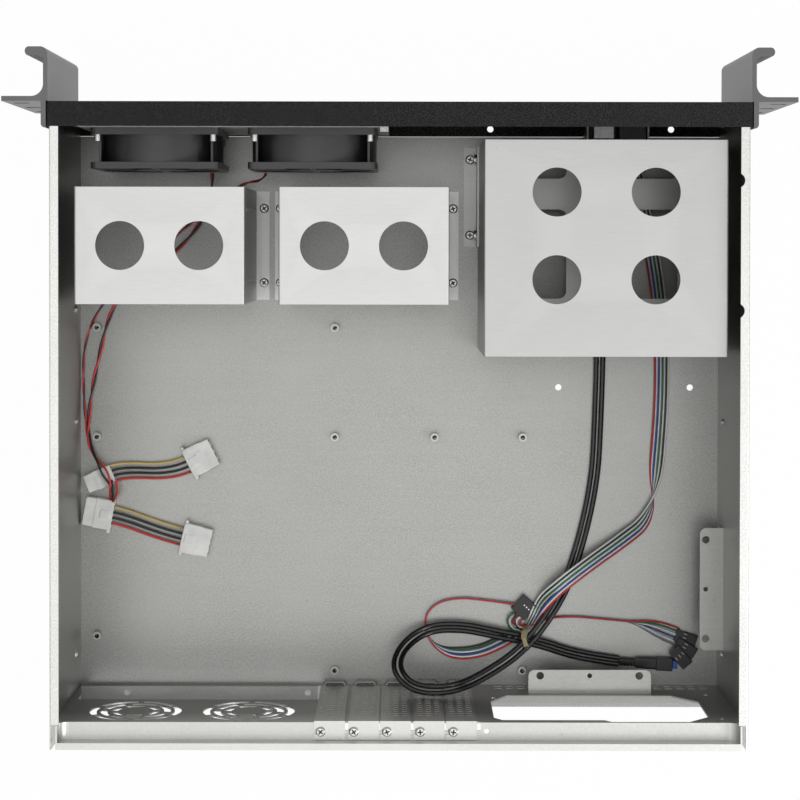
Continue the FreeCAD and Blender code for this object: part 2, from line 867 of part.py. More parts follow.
def make_rear_panel():
    """Rear wall with its foot, the sunk ledge that carries the card slots' screws, and the top edge."""
    step = rear_wall + S.ledge_depth
    ledge_end = half_width - S.ledge_inset
    section = [
        (rear_wall + S.foot_flange, floor),
        (rear_wall, floor),
        (rear_wall, S.ledge_height),
        (step, S.ledge_height),
        (step, S.case_height),
        (rear, S.case_height),
    ]
    wall_half = wall_inside - S.seam
    wall = fold("rear_wall", "YZ", section, -S.sheet_gauge, -wall_half, 2 * wall_half)
    # The ledge stops short of the side walls and turns up at both ends
    above = S.ledge_height - S.sheet_gauge - 1
    behind = rear_wall + S.sheet_gauge
    gap = wall_half - ledge_end
    ends = both_sides("ledge_gap", ledge_end, behind, above, gap + 1, rear - behind + 1, S.case_height)
    flat_end = ledge_end - S.sheet_gauge - S.ledge_round
    flat_tools = both_sides(
        "ledge_bend_space",
        flat_end,
        behind,
        S.ledge_height - 1.5 * S.sheet_gauge,
        S.ledge_round + 2 * S.sheet_gauge,
        step - behind,
        2 * S.sheet_gauge,
    )
    opened = cut("rear_wall_opened", wall, ends + flat_tools + rear_wall_tools())
    turn_up = [
        (flat_end - S.sheet_gauge, S.ledge_height),
        (ledge_end - S.sheet_gauge, S.ledge_height, S.ledge_round),
        (ledge_end - S.sheet_gauge, S.case_height),
    ]
    bend = fold("ledge_end_plus", "XZ", turn_up, -S.sheet_gauge, rear_wall, S.ledge_depth + S.sheet_gauge)
    flange_top = S.io_bottom + S.io_tall + S.sheet_gauge
    flange_section = [
        (rear_wall + S.sheet_gauge, flange_top),
        (rear_wall - S.io_flange_reach, flange_top),
        (rear_wall - S.io_flange_reach, flange_top - S.io_flange_lip),
    ]
    flange = fold("io_flange", "YZ", flange_section, S.sheet_gauge, S.io_flange_x, S.io_flange_wide)
    flange_tools = []
    for index, side in enumerate((-1, 1)):
        x = S.io_hole_x + side * S.io_hole_pitch / 2
        y = rear_wall - S.io_flange_reach / 2
        flange_tools.append(rod(f"io_flange_hole_{index}", "z", x, y, flange_top - 2, S.io_hole_bore, 4))
    flange_drilled = cut("io_flange_drilled", flange, flange_tools)
    pockets = [tongue_pocket(index) for index in range(SIZES["slot_count"])]
    whole = fuse("rear_panel", [opened, bend, mirror("ledge_end_minus", bend), flange_drilled] + pockets)
    keep(whole, "rear_panel")


def tongue_pocket(index):
    """The pressed pocket at the foot of a card slot, open above and below, that takes a cover's tongue."""
    x = slot_x(index)
    name = f"tongue_pocket_{index}"
    tip = rear_wall - S.pocket_reach
    outer = [
        (x - S.pocket_wide / 2, rear_wall),
        (x - S.pocket_tip / 2, tip),
        (x + S.pocket_tip / 2, tip),
        (x + S.pocket_wide / 2, rear_wall),
    ]
    skin = S.pocket_gauge
    inner = [
        (x - S.pocket_wide / 2 + 1.5 * skin, rear_wall),
        (x - S.pocket_tip / 2 + 0.6 * skin, tip + skin),
        (x + S.pocket_tip / 2 - 0.6 * skin, tip + skin),
        (x + S.pocket_wide / 2 - 1.5 * skin, rear_wall),
    ]
    solid = prism(name + "_outside", "XY", outer, S.pocket_low, S.pocket_tall)
    space = prism(name + "_inside", "XY", inner, S.pocket_low - 1, S.pocket_tall + 2)
    return cut(name, solid, [space])


def rear_wall_tools():
    """Everything that is cut out of the rear wall and its ledge."""
    before = rear_wall - 1
    through = S.sheet_gauge + 2
    io_left = S.io_centre_x - S.io_wide / 2
    tools = [block("io_opening", io_left, before, S.io_bottom, S.io_wide, through, S.io_tall)]
    tools += grille_tools(0) + grille_tools(1)
    for index in range(SIZES["slot_count"]):
        x = slot_x(index)
        tall = S.ledge_height - S.sheet_gauge - S.slot_open_low
        left = x - S.slot_open_wide / 2
        tools.append(block(f"slot_{index}", left, before, S.slot_open_low, S.slot_open_wide, through, tall))
        notch_x = x + S.slot_notch_x - S.slot_notch_wide / 2
        low = S.ledge_height - 2 * S.sheet_gauge
        deep = S.slot_notch_deep + 1
        tools.append(block(f"slot_notch_{index}", notch_x, before, low, S.slot_notch_wide, deep, 4))
    for index in range(SIZES["slot_count"] + 1):
        x = slot_x(index) + S.cover_screw_x
        y = rear_wall + S.cover_screw_y
        bore = S.screw_shank + S.fit_gap
        tools.append(rod(f"ledge_hole_{index}", "z", x, y, S.ledge_height - 3, bore, 5))
    outline = [
        (S.psu_left - S.psu_toe_x, S.psu_low),
        (S.psu_left, S.psu_low + S.psu_foot_z),
        (S.psu_left, S.psu_high - S.psu_near_z),
        (S.psu_left - S.psu_step, S.psu_high - S.psu_step),
        (S.psu_left - S.psu_step_from, S.psu_high - S.psu_step),
        (S.psu_left - S.psu_step_to, S.psu_high),
        (S.psu_right + S.psu_far_x, S.psu_high),
        (S.psu_right, S.psu_high - S.psu_far_z),
        (S.psu_right, S.psu_low + S.psu_foot_z),
        (S.psu_right + S.psu_foot_x, S.psu_low),
    ]
    tools.append(prism("psu_opening", "XZ", outline, before, through))
    # Three screws of the standard power supply's face: the fourth would fall in the opening
    far_x = S.psu_hole_x - S.psu_face_wide
    holes = (
        (S.psu_hole_x, S.psu_face_near),
        (far_x, S.psu_face_low),
        (far_x, S.psu_face_high),
    )
    for index, (x, up_face) in enumerate(holes):
        z = S.psu_bottom + up_face
        tools.append(rod(f"psu_hole_{index}", "y", x, before, z, S.psu_hole_bore, through))
    for row in range(2):
        z = S.psu_vent_low + row * S.psu_vent_row
        for index in range(SIZES["psu_vent_count"]):
            x = S.psu_vent_x - S.psu_vent_wide - index * S.psu_vent_pitch
            name = f"psu_vent_{row}_{index}"
            tools.append(block(name, x, before, z, S.psu_vent_wide, through, S.psu_vent_tall))
    return tools


def make_cover(index):
    """A perforated slot cover with a tongue below and a turned-out tab above."""
    body, roles = new_body(f"slot_cover_{index + 1}")
    neck = S.cover_low + S.cover_tongue_tall
    shoulder = neck + S.cover_taper
    plate = body_sketch(body, roles, "XZ_Plane", f"cover_{index}_plate")
    outline = [
        (-S.cover_tongue / 2, S.cover_low),
        (S.cover_tongue / 2, S.cover_low),
        (S.cover_tongue / 2, neck),
        (S.cover_wide / 2, shoulder),
        (S.cover_wide / 2, S.ledge_height),
        (-S.cover_wide / 2, S.ledge_height),
        (-S.cover_wide / 2, shoulder),
        (-S.cover_tongue / 2, neck),
    ]
    draw_outline(plate, outline)
    pad(body, f"cover_{index}_sheet", plate, S.sheet_gauge)
    tab = body_sketch(body, roles, "XY_Plane", f"cover_{index}_tab", S.ledge_height)
    corners = [
        (-S.cover_tab_wide / 2, -S.sheet_gauge),
        (S.cover_tab_wide / 2, -S.sheet_gauge),
        (S.cover_tab_wide / 2, S.cover_tab_depth),
        (-S.cover_tab_wide / 2, S.cover_tab_depth),
    ]
    draw_outline(tab, corners)
    pad(body, f"cover_{index}_top", tab, S.sheet_gauge)
    # The screw's slot is open towards the tab's side
    slot_half = (S.screw_shank + 2 * S.fit_gap) / 2
    slot_end = S.cover_screw_x - slot_half - S.cover_slot_play
    slot = body_sketch(body, roles, "XY_Plane", f"cover_{index}_slot", S.ledge_height)
    ends = [
        (S.cover_tab_wide / 2 + 1, S.cover_screw_y - slot_half),
        (S.cover_tab_wide / 2 + 1, S.cover_screw_y + slot_half),
        (slot_end, S.cover_screw_y + slot_half, slot_half * 0.8),
        (slot_end, S.cover_screw_y - slot_half, slot_half * 0.8),
    ]
    draw_outline(slot, ends)
    pocket_through(body, f"cover_{index}_screw_slot", slot)
    vent = body_sketch(body, roles, "XZ_Plane", f"cover_{index}_vent")
    left = -S.cover_slot_row - S.cover_slot_wide / 2
    low = S.cover_slot_low
    vent_outline = [
        (left, low),
        (left + S.cover_slot_wide, low),
        (left + S.cover_slot_wide, low + S.cover_slot_tall),
        (left, low + S.cover_slot_tall),
    ]
    draw_outline(vent, vent_outline)
    first = pocket_through(body, f"cover_{index}_first_vent", vent)
    vents = body.newObject("PartDesign::MultiTransform", f"cover_{index}_vents")
    vents.Originals = [first]
    rows = body.newObject("PartDesign::LinearPattern", f"cover_{index}_rows")
    rows.Direction = (roles["Z_Axis"], [""])
    rows.Occurrences = SIZES["cover_rows"]
    bind(rows, "Length", (SIZES["cover_rows"] - 1) * S.cover_slot_pitch)
    columns = body.newObject("PartDesign::LinearPattern", f"cover_{index}_columns")
    columns.Direction = (roles["X_Axis"], [""])
    columns.Occurrences = 3
    bind(columns, "Length", 2 * S.cover_slot_row)
    vents.Transformations = [rows, columns]
    body.Tip = vents
    place(body, slot_x(index) + COVER_PLAY[index], rear_wall, 0)
    keep(body, f"slot_cover_{index + 1}")


def pan_screw(name, x, y, z, length):
    """An upright pan-head screw whose head rests at height z."""
    head = doc.addObject("Part::Cone", name + "_head")
    bind(head, "Radius1", S.screw_head / 2)
    bind(head, "Radius2", S.screw_head / 2 * 0.7)
    bind(head, "Height", S.screw_head_tall)
    place(head, x, y, z)
    shank = rod(name + "_shank", "z", x, y, z - length, S.screw_shank, length)
    return fuse(name, [head, shank])


def make_cover_screws():
    """The card slots' screws, group of separate solids."""
    screws = []
    for index in range(SIZES["slot_count"]):
        x = slot_x(index) + S.cover_screw_x
        y = rear_wall + S.cover_screw_y
        z = S.ledge_height + S.sheet_gauge
        screws.append(pan_screw(f"cover_screw_{index}", x, y, z, S.screw_length))
    keep(group("slot_cover_screws", screws), "slot_cover_screws")


# Sideways play of each slot cover under its screw
COVER_PLAY = (0, -0.6, 0.3, 0, 0.5)


def make_bezel():
    """The front: a shallow pan open to the rear, with intake slots, two bays and the small controls."""
    body, roles = new_body("front_bezel")
    outside = body_sketch(body, roles, "XZ_Plane", "bezel_outside")
    corners = [
        (-bezel_half, 0, S.bezel_gauge),
        (bezel_half, 0, S.bezel_gauge),
        (bezel_half, S.case_height, S.bezel_gauge),
        (-bezel_half, S.case_height, S.bezel_gauge),
    ]
    draw_outline(outside, corners)
    pad(body, "bezel_block", outside, S.bezel_depth, backwards=True)
    inside = body_sketch(body, roles, "XZ_Plane", "bezel_inside", -S.bezel_gauge)
    inner = bezel_half - S.bezel_gauge
    hollow = [
        (-inner, S.bezel_gauge),
        (inner, S.bezel_gauge),
        (inner, S.case_height - S.bezel_gauge),
        (-inner, S.case_height - S.bezel_gauge),
    ]
    draw_outline(inside, hollow)
    pocket = body.newObject("PartDesign::Pocket", "bezel_hollow")
    pocket.Profile = inside
    bind(pocket, "Length", S.bezel_depth - S.bezel_gauge)
    bays = body_sketch(body, roles, "XZ_Plane", "bezel_bays")
    for low in (bay_low(0), bay_low(1)):
        draw_outline(bays, rectangle(S.cage_x, low + S.bay_tall / 2, S.bay_wide, S.bay_tall))
    draw_outline(bays, rectangle(S.usb_x, usb_middle, S.usb_wide + S.fit_gap, S.usb_tall + S.fit_gap))
    draw_circle(bays, S.button_x, S.button_z, S.button_bore + 2 * S.fit_gap)
    draw_circle(bays, S.reset_x, S.reset_z, S.reset_bore + 2 * S.fit_gap)
    for x in (S.button_x, S.reset_x):
        draw_circle(bays, x, S.lamp_z, S.lamp_bore)
    pocket_through(body, "bezel_openings", bays)
    screws = body_sketch(body, roles, "YZ_Plane", "bezel_screw_holes")
    for height in EAR_HEIGHTS:
        draw_circle(screws, S.ear_screw_inset, height, S.ear_screw_shank + S.fit_gap)
    pocket_through(body, "bezel_side_holes", screws)
    feet = body_sketch(body, roles, "XY_Plane", "bezel_foot_holes")
    for x in BEZEL_HOLE_X:
        draw_circle(feet, x, BEZEL_HOLE_INSET, FLOOR_HOLE_BORE)
    below = body.newObject("PartDesign::Pocket", "bezel_bottom_holes")
    below.Profile = feet
    below.SideType = "Symmetric"
    bind(below, "Length", 4 * S.bezel_gauge)
    for number, x in enumerate((S.fan_outer_x, S.fan_inner_x)):
        slots = body_sketch(body, roles, "XZ_Plane", f"bezel_vent_{number}")
        low = fan_z - (SIZES["vent_slot_count"] - 1) / 2 * S.vent_slot_pitch
        draw_outline(slots, rectangle(x, low, S.vent_slot_wide, S.vent_slot_tall, S.vent_slot_tall * 0.48))
        first = pocket_through(body, f"bezel_vent_{number}_first", slots)
        rows = body.newObject("PartDesign::LinearPattern", f"bezel_vent_{number}_rows")
        rows.Originals = [first]
        rows.Direction = (roles["Z_Axis"], [""])
        rows.Occurrences = SIZES["vent_slot_count"]
        bind(rows, "Length", (SIZES["vent_slot_count"] - 1) * S.vent_slot_pitch)
        body.Tip = rows
    place(body, 0, face, 0)
    keep(body, "front_bezel")


def rectangle(x, z, wide, tall, corner=None):
    """Four corners about a middle, rounded if a radius is given."""
    half_wide = as_size(wide) / 2
    half_tall = as_size(tall) / 2
    middle_x = as_size(x)
    middle_z = as_size(z)
    corners = [
        (middle_x - half_wide, middle_z - half_tall),
        (middle_x + half_wide, middle_z - half_tall),
        (middle_x + half_wide, middle_z + half_tall),
        (middle_x - half_wide, middle_z + half_tall),
    ]
    if corner is None:
        return corners
    return [(a, b, corner) for a, b in corners]


def bay_low(number):
    """The lower edge of a front bay's opening."""
    return S.shelf_height + S.bay_rib + number * (S.bay_tall + S.bay_rib)


usb_middle = S.io_block_low + S.sheet_gauge + S.board_gauge + S.usb_tall / 2


def make_handle():
    """Rack ear, side plate and grip of one extruded section, and its mirror image."""
    near = bezel_half + S.seam
    far = near + S.side_plate_gauge
    web_in = near - S.web_inset
    web_out = web_in + S.web_gauge
    hook_tip = web_out + S.hook_outset
    grip_front = front - S.handle_reach
    grip_back = grip_front + S.hook_gauge
    plate_end = face + S.side_plate_depth
    front_of_bezel = face - S.seam
    outline = [
        (near, plate_end),
        (far, plate_end, S.side_plate_gauge * 0.8),
        (far, face),
        (ear_end, face),
        (ear_end, front),
        (web_out, front, S.handle_round),
        (web_out, grip_back, S.web_gauge),
        (hook_tip, grip_back, S.hook_gauge * 0.45),
        (hook_tip, grip_front, S.hook_gauge * 0.45),
        (web_in, grip_front, S.hook_gauge * 0.8),
        (web_in, front_of_bezel),
        (near, front_of_bezel),
    ]
    section = prism("handle_section", "XY", outline, 0, S.case_height)
    tools = []
    for index, height in enumerate(EAR_HEIGHTS):
        slot = rectangle(ear_end - S.ear_slot_inset, height, S.ear_slot_wide, S.ear_slot_tall, S.ear_slot_tall * 0.48)
        tools.append(prism(f"ear_slot_{index}", "XZ", slot, front - 1, S.ear_gauge + 2))
        shank = S.ear_screw_shank + S.fit_gap
        tools.append(rod(f"handle_hole_{index}", "x", near - 1, ear_screw_y, height, shank, S.side_plate_gauge + 2))
        sink = doc.addObject("Part::Cone", f"handle_sink_{index}")
        sink.Placement = FreeCAD.Placement(FreeCAD.Vector(), ROD_TURNS["x"])
        bind(sink, "Radius1", shank / 2)
        bind(sink, "Radius2", S.ear_screw_head / 2 + S.fit_gap)
        bind(sink, "Height", S.ear_screw_sink)
        place(sink, far - S.ear_screw_sink, ear_screw_y, height)
        tools.append(sink)
    left = keep(cut("handle_left", section, tools), "handle_left")
    keep(mirror("handle_right", left), "handle_right")


def make_handle_screws():
    """Countersunk screws that hold each handle, the bezel and the tray's tab together."""
    far = bezel_half + S.seam + S.side_plate_gauge
    screws = []
    for index, height in enumerate(EAR_HEIGHTS):
        head = doc.addObject("Part::Cone", f"handle_screw_{index}_head")
        head.Placement = FreeCAD.Placement(FreeCAD.Vector(), ROD_TURNS["x"])
        bind(head, "Radius1", S.ear_screw_shank / 2)
        bind(head, "Radius2", S.ear_screw_head / 2)
        bind(head, "Height", S.ear_screw_sink)
        place(head, far - S.ear_screw_sink, ear_screw_y, height)
        length = S.side_plate_gauge + S.bezel_gauge + 3 * S.sheet_gauge
        shank = rod(
            f"handle_screw_{index}_shank", "x", far - length, ear_screw_y, height, S.ear_screw_shank, length - S.seam
        )
        screws.append(fuse(f"handle_screw_{index}", [head, shank]))
    mirrored = [mirror(f"handle_screw_{index + 3}", screw) for index, screw in enumerate(screws)]
    keep(group("handle_screws", screws + mirrored), "handle_screws")


FAN_X = (S.fan_outer_x, S.fan_inner_x)


def fan_corners(centre_x):
    """The four screw places of a fan."""
    reach = S.fan_hole_pitch / 2
    return [(centre_x + a * reach, fan_z + b * reach) for a in (-1, 1) for b in (-1, 1)]


def make_fan_plate():
    """The sheet behind the intake slots that both fans are screwed to."""
    inside_front = face + S.bezel_gauge
    section = [
        (S.fan_plate_left, inside_front),
        (S.fan_plate_left, fan_plate_y),
        (S.fan_plate_right, fan_plate_y),
        (S.fan_plate_right, inside_front),
    ]
    plate_top = S.case_height - S.fan_plate_drop
    height = plate_top - S.fan_plate_low
    sheet_part = fold("fan_plate_sheet", "XY", section, S.sheet_gauge, S.fan_plate_low, height)
    tab_low = plate_top - S.fan_tab_drop
    tab_x = S.fan_plate_right
    tab = block("fan_plate_tab", tab_x, fan_plate_y, tab_low, S.fan_tab_wide, S.fan_tab_gauge, S.fan_tab_tall)
    whole = fuse("fan_plate_whole", [sheet_part, tab])
    start = fan_plate_y - S.sheet_gauge - 1
    tools = []
    for number, x in enumerate(FAN_X):
        tools.append(rod(f"fan_plate_bore_{number}", "y", x, start, fan_z, S.fan_bore, 3))
        for index, (hole_x, hole_z) in enumerate(fan_corners(x)):
            name = f"fan_plate_hole_{number}_{index}"
            tools.append(rod(name, "y", hole_x, start, hole_z, S.fan_screw + S.fit_gap, 3))
    keep(cut("fan_plate", whole, tools), "fan_plate")


def make_fan_frame(number):
    """A fan's frame: two flanges, a round shell with ribs, and the spokes and seat of the motor."""
    label = f"fan_frame_{number + 1}"
    body, roles = new_body(label)
    outer = S.fan_bore / 2 + S.fan_shell
    for name, level in (("front", as_size(0)), ("back", S.fan_depth - S.fan_flange)):
        flange = body_sketch(body, roles, "XY_Plane", f"{label}_{name}", level)
        draw_outline(flange, rectangle(0, 0, S.fan_size, S.fan_size, S.fan_size / 20))
        draw_circle(flange, 0, 0, S.fan_bore)
        for x, y in fan_corners(as_size(0)):
            draw_circle(flange, x, y - fan_z, S.fan_hole)
        pad(body, f"{label}_{name}_flange", flange, S.fan_flange)
        if name == "front":
            shell = body_sketch(body, roles, "XY_Plane", f"{label}_shell_ring")
            draw_circle(shell, 0, 0, 2 * outer)
            draw_circle(shell, 0, 0, S.fan_bore)
            pad(body, f"{label}_shell", shell, S.fan_depth)
            ribs = body_sketch(body, roles, "XY_Plane", f"{label}_rib_lines")
            for side in (-1, 1):
                for end in (-1, 1):
                    x = side * S.fan_rib_x
                    reach = S.fan_size / 2 - S.fan_rib_end
                    draw_outline(ribs, span(x, end * S.fan_rib_start, x + side * S.fan_shell, end * reach))
            pad(body, f"{label}_ribs", ribs, S.fan_depth)
    motor = body_sketch(body, roles, "XY_Plane", f"{label}_motor_ring", S.fan_depth - S.motor_gauge)
    draw_circle(motor, 0, 0, S.fan_hub)
    pad(body, f"{label}_motor", motor, S.motor_gauge)
    post = body_sketch(body, roles, "XY_Plane", f"{label}_post_ring", S.fan_depth - S.motor_gauge - S.post_length)
    draw_circle(post, 0, 0, S.post_bore * 2.4)
    pad(body, f"{label}_post", post, S.post_length)
    spoke = body_sketch(body, roles, "XY_Plane", f"{label}_spoke_line", S.fan_depth - S.motor_gauge)
    draw_outline(spoke, span(S.fan_hub / 2 - 1, -S.spoke_wide / 2, outer - S.fan_shell / 2, S.spoke_wide / 2))
    first = pad(body, f"{label}_spoke", spoke, S.motor_gauge)
    spokes = body.newObject("PartDesign::PolarPattern", f"{label}_spokes")
    spokes.Originals = [first]
    spokes.Axis = (roles["Z_Axis"], [""])
    spokes.Angle = 360
    spokes.Occurrences = SIZES["fan_spokes"]
    body.Tip = spokes
    bore = body_sketch(body, roles, "XY_Plane", f"{label}_bore_ring", S.fan_depth - 1)
    draw_circle(bore, 0, 0, S.post_bore)
    drilled = body.newObject("PartDesign::Pocket", f"{label}_bore")
    drilled.Profile = bore
    bind(drilled, "Length", S.motor_gauge + S.post_length)
    place_fan(body, FAN_X[number])
    keep(body, label)


def span(x0, y0, x1, y1):
    """Four corners from two opposite ones."""
    return [(x0, y0), (x1, y0), (x1, y1), (x0, y1)]


def place_fan(body, x):
    """Turns a fan piece so that its own Z runs to the rear, with its front on the fan plate."""
    body.Placement = FreeCAD.Placement(FreeCAD.Vector(), ROD_TURNS["y"])
    place(body, x, fan_plate_y, fan_z)


def make_fan_rotor(number):
    """A fan's cup-shaped hub, shaft and swept blades."""
    label = f"fan_rotor_{number + 1}"
    body, roles = new_body(label)
    hub = S.fan_hub / 2
    back = S.fan_depth - S.motor_gauge - S.rotor_gap
    profile = body_sketch(body, roles, "XZ_Plane", f"{label}_hub_line")
    wall = S.hub_wall
    shaft = S.fan_shaft / 2
    section = [
        (as_size(0), S.rotor_gap),
        (hub, S.rotor_gap, wall),
        (hub, back),
        (hub - wall, back),
        (hub - wall, S.rotor_gap + wall),
        (shaft, S.rotor_gap + wall),
        (shaft, back - 1),
        (as_size(0), back - 1),
    ]
    draw_outline(profile, section)
    turned = body.newObject("PartDesign::Revolution", f"{label}_hub")
    turned.Profile = profile
    turned.ReferenceAxis = (profile, ["V_Axis"])
    turned.Angle = 360
    sections = []
    for name, radius, reach in (("root", hub - wall * 0.8, S.blade_root), ("tip", S.blade_radius, S.blade_tip)):
        blade = body_sketch(body, roles, "YZ_Plane", f"{label}_blade_{name}", radius)
        thick = S.fan_blade_gauge * 1.5
        corners = [
            (-reach, S.blade_low),
            (-reach + thick, S.blade_low),
            (reach, S.blade_high),
            (reach - thick, S.blade_high),
        ]
        draw_outline(blade, corners)
        sections.append(blade)
    loft = body.newObject("PartDesign::AdditiveLoft", f"{label}_blade")
    loft.Profile = sections[0]
    loft.Sections = [sections[1]]
    loft.Ruled = True
    blades = body.newObject("PartDesign::PolarPattern", f"{label}_blades")
    blades.Originals = [loft]
    blades.Axis = (roles["Z_Axis"], [""])
    blades.Angle = 360
    blades.Occurrences = SIZES["fan_blades"]
    body.Tip = blades
    place_fan(body, FAN_X[number])
    keep(body, label)


def make_fan_screws():
    """Self-tapping screws through the fan plate into the fans' front flanges."""
    screws = []
    for number, x in enumerate(FAN_X):
        for index, (hole_x, hole_z) in enumerate(fan_corners(x)):
            name = f"fan_screw_{number}_{index}"
            start = fan_plate_y - S.sheet_gauge
            head = rod(name + "_head", "y", hole_x, start - S.screw_head_tall, hole_z, S.screw_head, S.screw_head_tall)
            shank_length = S.sheet_gauge + S.fan_flange + S.fan_screw_tip
            shank = rod(name + "_shank", "y", hole_x, start, hole_z, S.fan_screw, shank_length)
            screws.append(fuse(name, [head, shank]))
    keep(group("fan_screws", screws), "fan_screws")


def foot_screw(name, x, y, gauge):
    """A screw through a bracket's foot, its end flush with the underside of the floor."""
    return pan_screw(name, x, y, floor + gauge, floor + gauge)


def make_disk_bracket(label, x):
    """A tall bridge of folded aluminium that hard disks are screwed into, on two feet."""
    gauge = S.disk_gauge
    reach = S.disk_wide / 2 - gauge
    foot = S.disk_wide / 2 + S.disk_foot
    section = [
        (x - foot, floor),
        (x - reach, floor),
        (x - reach, S.disk_top - gauge),
        (x + reach, S.disk_top - gauge),
        (x + reach, floor),
        (x + foot, floor),
    ]
    start = S.disk_y - S.disk_long / 2
    bridge = fold(label + "_sheet", "XZ", section, gauge, start, S.disk_long)
    tools = []
    for index, side in enumerate((-1, 1)):
        bore_x = x + side * S.disk_bore_pitch / 2
        tools.append(rod(f"{label}_finger_{index}", "z", bore_x, S.disk_y, S.disk_top - 5, S.finger_bore, 10))
        foot_x = x + side * (S.disk_wide / 2 + S.disk_screw_out)
        hole_y = S.disk_y + side * S.disk_screw_pitch / 2
        drive_y = S.disk_y + side * S.drive_hole_pitch / 2
        for end in (-1, 1):
            hole_x = x + end * (S.disk_wide / 2 + S.disk_screw_out)
            name = f"{label}_foot_{index}_{end + 1}"
            tools.append(rod(name, "z", hole_x, hole_y, 0, S.screw_shank + S.fit_gap, 5))
        for row in range(SIZES["drive_rows"]):
            z = S.drive_row_low + row * S.drive_row
            name = f"{label}_drive_{index}_{row}"
            tools.append(rod(name, "x", x - foot, drive_y, z, S.drive_hole, 2 * foot))
    keep(cut(label, bridge, tools), label)


def disk_screw_places(x):
    """The four foot screws of a disk bracket."""
    out = S.disk_wide / 2 + S.disk_screw_out
    reach = S.disk_screw_pitch / 2
    return [(x + a * out, S.disk_y + b * reach) for a in (-1, 1) for b in (-1, 1)]


def make_disk_screws():
    """The foot screws of both disk brackets."""
    places = disk_screw_places(S.disk_outer_x) + disk_screw_places(S.disk_inner_x)
    screws = [foot_screw(f"disk_screw_{i}", x, y, S.disk_gauge) for i, (x, y) in enumerate(places)]
    keep(group("disk_bracket_screws", screws), "disk_bracket_screws")


def make_drive_cage():
    """The bridge over the two front bays, and the shelf that closes it below."""
    gauge = S.cage_gauge
    reach = S.cage_wide / 2 - gauge
    section = [
        (S.cage_x - reach, floor),
        (S.cage_x - reach, S.cage_top - gauge),
        (S.cage_x + reach, S.cage_top - gauge),
        (S.cage_x + reach, floor),
    ]
    bridge = fold("drive_cage_sheet", "XZ", section, gauge, S.cage_front, S.cage_long)
    tools = []
    middle_y = S.cage_bore_centre
    for a in (-1, 1):
        for b in (-1, 1):
            x = S.cage_x + a * S.cage_bore_x / 2
            y = middle_y + b * S.cage_bore_y / 2
            tools.append(rod(f"cage_finger_{a + 1}{b + 1}", "z", x, y, S.cage_top - 5, S.finger_bore, 10))
    for bay in range(2):
        z = bay_low(bay) + S.bay_screw_up
        for index, side in enumerate((-1, 1)):
            y = middle_y + side * S.bay_screw_pitch / 2
            start = S.cage_x - S.cage_wide / 2 - 1
            name = f"cage_drive_hole_{bay}_{index}"
            tools.append(rod(name, "x", start, y, z, S.drive_hole, S.cage_wide + 2))
    for index, y in enumerate(angle_screw_ys()):
        start = S.cage_x - S.cage_wide / 2 - 1
        bore = S.screw_shank + S.fit_gap
        tools.append(rod(f"cage_angle_hole_{index}", "x", start, y, angle_screw_z, bore, S.cage_wide + 2))
    keep(cut("drive_cage", bridge, tools), "drive_cage")
    # The shelf's edges turn up against the cage's walls
    inner = reach - S.seam
    shelf_line = [
        (S.cage_x - inner, S.shelf_height + S.shelf_lip),
        (S.cage_x - inner, S.shelf_height - gauge),
        (S.cage_x + inner, S.shelf_height - gauge),
        (S.cage_x + inner, S.shelf_height + S.shelf_lip),
    ]
    shelf = fold("shelf_sheet", "XZ", shelf_line, S.cage_gauge, S.cage_front, S.cage_long)
    windows = []
    rows = ((S.window_front, S.window_mid_front), (S.window_mid_rear, S.window_rear))
    for column, side in enumerate((-1, 1)):
        x = S.window_x + side * S.window_pitch / 2
        for row, (near, far) in enumerate(rows):
            outline = rectangle(x, (near + far) / 2, S.window_wide, far - near, S.window_round)
            windows.append(prism(f"shelf_window_{column}{row}", "XY", outline, S.shelf_height - 5, 10))
    keep(cut("drive_cage_shelf", shelf, windows), "drive_cage_shelf")


angle_screw_z = floor + 14


def angle_screw_ys():
    """Where the two screws of a cage angle lie along the case."""
    middle = S.angle_front + S.angle_long / 2
    return [middle + side * S.angle_screw_pitch / 2 for side in (-1, 1)]


def make_cage_angle(label, side):
    """An angle that carries one wall of the drive cage on the floor."""
    wall_x = S.cage_x + side * S.cage_wide / 2
    section = [
        (wall_x + side * S.angle_foot, floor),
        (wall_x, floor),
        (wall_x, floor + S.angle_leg),
    ]
    angle = fold(label + "_sheet", "XZ", section, -side * S.cage_gauge, S.angle_front, S.angle_long)
    tools = []
    bore = S.screw_shank + S.fit_gap
    for index, y in enumerate(angle_screw_ys()):
        foot_x = wall_x + side * S.angle_screw_out
        tools.append(rod(f"{label}_foot_{index}", "z", foot_x, y, 0, bore, 5))
        tools.append(rod(f"{label}_leg_{index}", "x", wall_x - 5, y, angle_screw_z, bore, 10))
    keep(cut(label, angle, tools), label)


def make_cage_screws():
    """The screws of both cage angles: two into the floor and two into the cage's wall on each side."""
    screws = []
    for side in (-1, 1):
        wall_x = S.cage_x + side * S.cage_wide / 2
        for index, y in enumerate(angle_screw_ys()):
            name = f"cage_screw_{side + 1}_{index}"
            screws.append(foot_screw(name + "_foot", wall_x + side * S.angle_screw_out, y, S.cage_gauge))
            screws.append(wall_screw(name + "_wall", wall_x, side, y))
    keep(group("cage_screws", screws), "cage_screws")


def wall_screw(name, wall_x, side, y):
    """A screw lying across a cage wall and its angle, its head outside."""
    through = 2 * S.cage_gauge
    shank = rod(name + "_shank", "x", wall_x - S.cage_gauge, y, angle_screw_z, S.screw_shank, through)
    head_x = wall_x + S.cage_gauge if side > 0 else wall_x - S.cage_gauge - S.screw_head_tall
    head = rod(name + "_head", "x", head_x, y, angle_screw_z, S.screw_head, S.screw_head_tall)
    return fuse(name, [shank, head])


